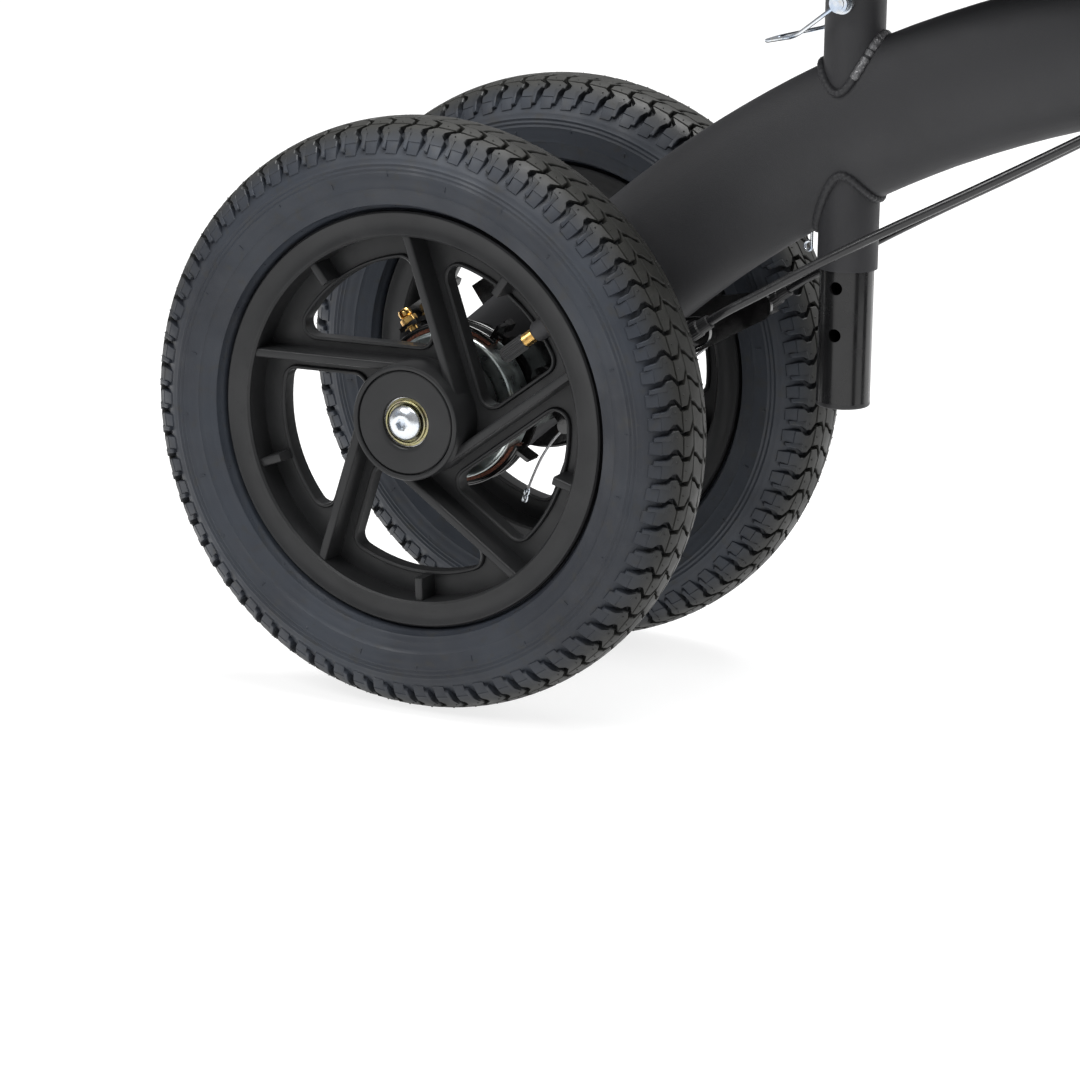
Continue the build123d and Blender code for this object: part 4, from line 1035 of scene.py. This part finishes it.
def press_channel(pad, low, high):
    """Keep the pad in its CAD box, flat on its board, with a sewn channel down its middle."""
    centre = (low + high) / 2
    half_x = (high.x - low.x) / 2
    for vertex in pad.data.vertices:
        co = vertex.co
        co.z = max(co.z, low.z + 0.0006)
        share = clamped((co.z - (high.z - 0.022)) / 0.012)
        groove = math.exp(-((co.y - centre.y) / CHANNEL_HALF) ** 2)
        fade = clamped((half_x - 0.012 - abs(co.x - centre.x)) / 0.02)
        co.z -= CHANNEL_DEPTH * share * groove * fade
        co.z = min(co.z, high.z)
        for axis in (0, 1):
            co[axis] = clamped(co[axis], low[axis], high[axis])


def piping(pad, low, high):
    """Corded edges round the pad and a line of stitches each side of its channel."""
    pad.data.update()
    tree = BVHTree.FromPolygons([v.co.copy() for v in pad.data.vertices],
                                [tuple(p.vertices) for p in pad.data.polygons])
    centre = (low + high) / 2
    half = (high - low) / 2
    shape = Shape()
    for z in (low.z + 0.008, high.z - 0.013):
        path = []
        for x, y in rounded_rectangle(half.x / MM, half.y / MM, PAD_CORNER, 12):
            aim = Vector((centre.x + x * MM, centre.y + y * MM, z))
            inner = Vector((centre.x + x * MM * 0.3, centre.y + y * MM * 0.3, z))
            hit = tree.ray_cast(aim + (aim - inner).normalized() * 0.02, (inner - aim).normalized())[0] or aim
            path.append(hit / MM)
        relaxed = [sum((path[(i + k) % len(path)] for k in range(-2, 3)), Vector()) / 5
                   for i in range(len(path))]
        shape.sweep(smooth_path(relaxed, 3, closed=True), ring(2.1, 12), closed=True)
    fit(shape, "knee_pad_piping", "knee_rest", "pad_cover", sharp=60)
    stitches = Shape()
    pitch, length = 5.0, 3.4
    count = int((2 * half.x / MM - 60) / pitch)
    for side in (1, -1):
        for i in range(count):
            x = centre.x / MM - (count - 1) * pitch / 2 + i * pitch
            ends = []
            for dx in (-length / 2, 0, length / 2):
                origin = Vector(((x + dx) * MM, centre.y + side * 0.0105, high.z + 0.05))
                hit = tree.ray_cast(origin, Vector((0, 0, -1)))[0]
                if hit is not None:
                    ends.append(hit / MM + Vector((0, 0, 0.15 if dx == 0 else -0.35)))
            if len(ends) == 3:
                stitches.sweep(ends, ring(0.42, 6))
    fit(stitches, "knee_pad_stitches", "knee_rest", "grip_rubber")


# ---------------------------------------------------------------- handlebar
def grips():
    """Ribbed rubber grips with a flange and a closed end."""
    centre = middle("grips") / MM
    end = half_size("grips").y / MM
    shape = Shape()
    bar = 11.1
    for side in (1, -1):
        shape.place = facing((0, side, 0), "X", (centre.x, 0, centre.z))
        line = [(bar, 135.0), (17.5, 135.0), (19.0, 136.0), (19.0, 138.8), (17.6, 140.0), (15.6, 141.0)]
        for k in range(30):
            at = 143.0 + k * 3.6
            line += [(15.3, at), (16.2, at + 0.7), (16.2, at + 2.0), (15.3, at + 2.7)]
        line += [(15.4, 252.0), (16.5, 253.5), (16.5, end - 2.0), (15.0, end - 0.5), (12.0, end), (0.01, end),
                 (0.01, end - 2.5), (bar, end - 2.5)]
        shape.lathe(line, 72, ripple=lambda a: 1.0 + 0.006 * math.cos(16 * a))
    fit(shape, "handlebar_grips", "handlebar", "grip_rubber", ["grips"], sharp=50)


def lever_taper(t):
    """Size of a brake lever's blade along it: a slow taper, then a rounded end."""
    return 0.98 - 0.16 * t if t < 0.93 else 0.83 * math.sqrt(max(0.05, 1 - ((t - 0.93) / 0.075) ** 2))


def brake_levers():
    """Cast brake levers: an oval blade that tapers to a rounded end, with a pivot boss."""
    reach = ((2, 3), (9, 7), (17, 12.5), (23.5, 24), (27.5, 42), (29.3, 62), (29.3, 84), (28.2, 108.0))
    for name, side in SIDES.items():
        node = f"brake_lever_{name}"
        half = half_size(node).z / MM
        pivot = Vector((FRONT.x + 33.0, side * 112.0, middle(node).z / MM))
        path = [pivot + Vector((x, side * y, 0)) for x, y in reach]
        shape = Shape()
        blade = [(4.3 * math.cos(a), (half - 0.3) * math.copysign(abs(math.sin(a)) ** 0.75, math.sin(a)))
                 for a in around(20)]
        shape.sweep(smooth_path(path, 8), blade, scale=lever_taper)
        shape.place = Matrix.Translation(path[-1])
        shape.lathe([(0.01, -4.0), (2.4, -3.8), (4.4, -2.6), (5.0, 0.0), (4.4, 2.6), (2.4, 3.8),
                     (0.01, 4.0)], 28)
        shape.place = Matrix.Translation(pivot)
        shape.lathe(rounded([(3.05, -half), (7.0, -half), (7.0, half), (3.05, half)], 0.9), 40)
        fit(shape, f"{node}_look", node, "brake_black", [node], sharp=50)


def handle_taper(t):
    """Size of a cam lever's handle along it: even, then a rounded end."""
    return 1.0 if t < 0.9 else math.sqrt(max(0.3, 1 - ((t - 0.9) / 0.12) ** 2))


def cam_levers():
    """The two quick-release levers: a round cam, a curved handle and a bright skewer end."""
    hang = ((-2.2, -2), (-4.0, -14), (-5.3, -28), (-6.4, -42), (-6.3, -56.6))
    handle = rounded([(-6.4, -2.5), (6.4, -2.5), (6.4, 2.1), (3.0, 2.9), (-3.0, 2.9), (-6.4, 2.1)], 1.4)
    for node in ("fold_lever", "stem_lever"):
        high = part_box(node)[1]
        pivot = Vector((middle(node).x, high.y - 0.0075, high.z - 0.0075)) / MM
        shape = Shape(facing((1, 0, 0), "Y", pivot))
        shape.lathe(rounded([(3.0, -7.0), (7.5, -7.0), (7.5, 7.0), (3.0, 7.0)], 1.2), 40)
        shape.lathe(rounded([(0.01, -6.6), (3.0, -6.6), (3.0, 6.6), (0.01, 6.6)], 0.5), 24, finish=1)
        shape.place = Matrix.Identity(4)
        path = smooth_path([pivot + Vector((0, y, z)) for y, z in hang], 8)
        shape.sweep(path, handle, (0, 1, 0), scale=handle_taper)
        fit(shape, f"{node}_look", node, "black_plastic", [node], ["bright_zinc"], sharp=45)


def small_screws():
    """Cap screws at the lever perches and under the pad bracket."""
    upside_down = Matrix.Rotation(math.pi, 4, "X")
    shape = Shape()
    bar_z = middle("handlebar").z / MM
    for side in (1, -1):
        for at in (107.5, 120.5):
            for over in (1, -1):
                spot = Matrix.Translation((FRONT.x + 25.0, side * at, bar_z + over * 9.6))
                shape.place = spot if over > 0 else spot @ upside_down
                shape.lathe([(0.01, -1.0), (2.6, -1.0), (2.6, 1.6), (2.2, 2.1), (1.3, 2.1), (1.2, 0.8),
                             (0.01, 0.8)], 24)
    fit(shape, "lever_perch_screws", "handlebar", "bright_zinc")
    shape = Shape()
    plate_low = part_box("pad_bracket")[1].z / MM - 4.0
    bracket_x = middle("pad_bracket").x / MM
    for x in (-62, 62):
        for y in (-33, 33):
            shape.place = Matrix.Translation((bracket_x + x, y, plate_low)) @ upside_down
            shape.lathe([(0.01, -0.5), (6.8, -0.5), (6.8, 0.8), (5.6, 0.9), (5.4, 2.6), (4.4, 4.2),
                         (2.2, 4.9), (2.0, 3.4), (0.01, 3.4)], 30)
    fit(shape, "pad_bracket_screws", "knee_rest", "bright_zinc")


# ---------------------------------------------------------------- studio
def camera():
    """The photograph's view: from ahead and to the right, looking back and down at the rear wheels."""
    turn, lift, roll = (math.radians(angle) for angle in (26.87, 14.37, 1.05))
    distance = 2.701
    back = Vector((math.sin(turn) * math.cos(lift), -math.cos(turn) * math.cos(lift), math.sin(lift)))
    right = Vector((math.cos(turn), math.sin(turn), 0))
    up = back.cross(right)
    across = right * math.cos(roll) + up * math.sin(roll)
    over = up * math.cos(roll) - right * math.sin(roll)
    data = bpy.data.cameras.new("camera")
    data.sensor_width = 36.0
    data.lens = 164.7
    made = linked("camera", data)
    placed = Matrix((across, over, back)).transposed().to_4x4()
    placed.translation = AXLE * MM + Vector((0.0247, 0, -0.0846)) + back * distance
    made.matrix_world = placed
    bpy.context.scene.camera = made


def area_light(name, place, aim, size, power):
    """A soft rectangular light."""
    data = bpy.data.lights.new(name, "AREA")
    data.shape = "RECTANGLE"
    data.size, data.size_y = size
    data.energy = power
    made = linked(name, data)
    made.location = place
    made.rotation_mode = "QUATERNION"
    made.rotation_quaternion = (Vector(aim) - Vector(place)).to_track_quat("-Z", "Y")


def studio():
    """A pale floor, a bright sky that is dimmer low down, and soft lights."""
    size = 30.0
    mesh = bpy.data.meshes.new("floor")
    corners = [(-size, -size, 0), (size, -size, 0), (size, size, 0), (-size, size, 0)]
    mesh.from_pydata(corners, [], [(0, 1, 2, 3)])
    floor = linked("floor", mesh)
    pale = Finish("floor_pale", (0.3, 0.3, 0.3), 0.9, specular=0.05)
    pale.mottle(2.0, (0.29, 0.29, 0.29), 0.3, 0.7)
    pale.shader.inputs["Emission Color"].default_value = (1, 1, 1, 1)
    pale.shader.inputs["Emission Strength"].default_value = 0.8
    mesh.materials.append(pale.material)
    world = bpy.data.worlds.new("studio")
    world.use_nodes = True
    bpy.context.scene.world = world
    nodes, links = world.node_tree.nodes, world.node_tree.links
    spot = nodes.new("ShaderNodeTexCoord")
    split = nodes.new("ShaderNodeSeparateXYZ")
    ramp = nodes.new("ShaderNodeValToRGB")
    links.new(spot.outputs["Generated"], split.inputs["Vector"])
    links.new(split.outputs["Z"], ramp.inputs["Fac"])
    for stop, position, colour in zip(ramp.color_ramp.elements, (0.0, 0.9), ((0.6, 0.6, 0.62), (1, 1, 1))):
        stop.position = position
        stop.color = (*colour, 1)
    background = nodes["Background"]
    links.new(ramp.outputs["Color"], background.inputs["Color"])
    background.inputs["Strength"].default_value = 0.46
    aim = AXLE * MM + Vector((0.1, 0, 0.0))
    area_light("key", (-1.2, -2.0, 2.4), aim, (1.8, 1.2), 44)
    area_light("top", (0.2, 0.3, 3.0), aim, (2.6, 2.0), 150)
    area_light("rim_light", (1.8, 1.6, 1.6), aim, (1.0, 1.6), 24)
    bpy.context.scene.view_settings.view_transform = "Standard"


add_wheels()
add_welds()
hook_and_grommets()
brake_fittings()
brake_wires()
knee_pad()
grips()
brake_levers()
cam_levers()
small_screws()
studio()
camera()

bpy.context.view_layer.update()
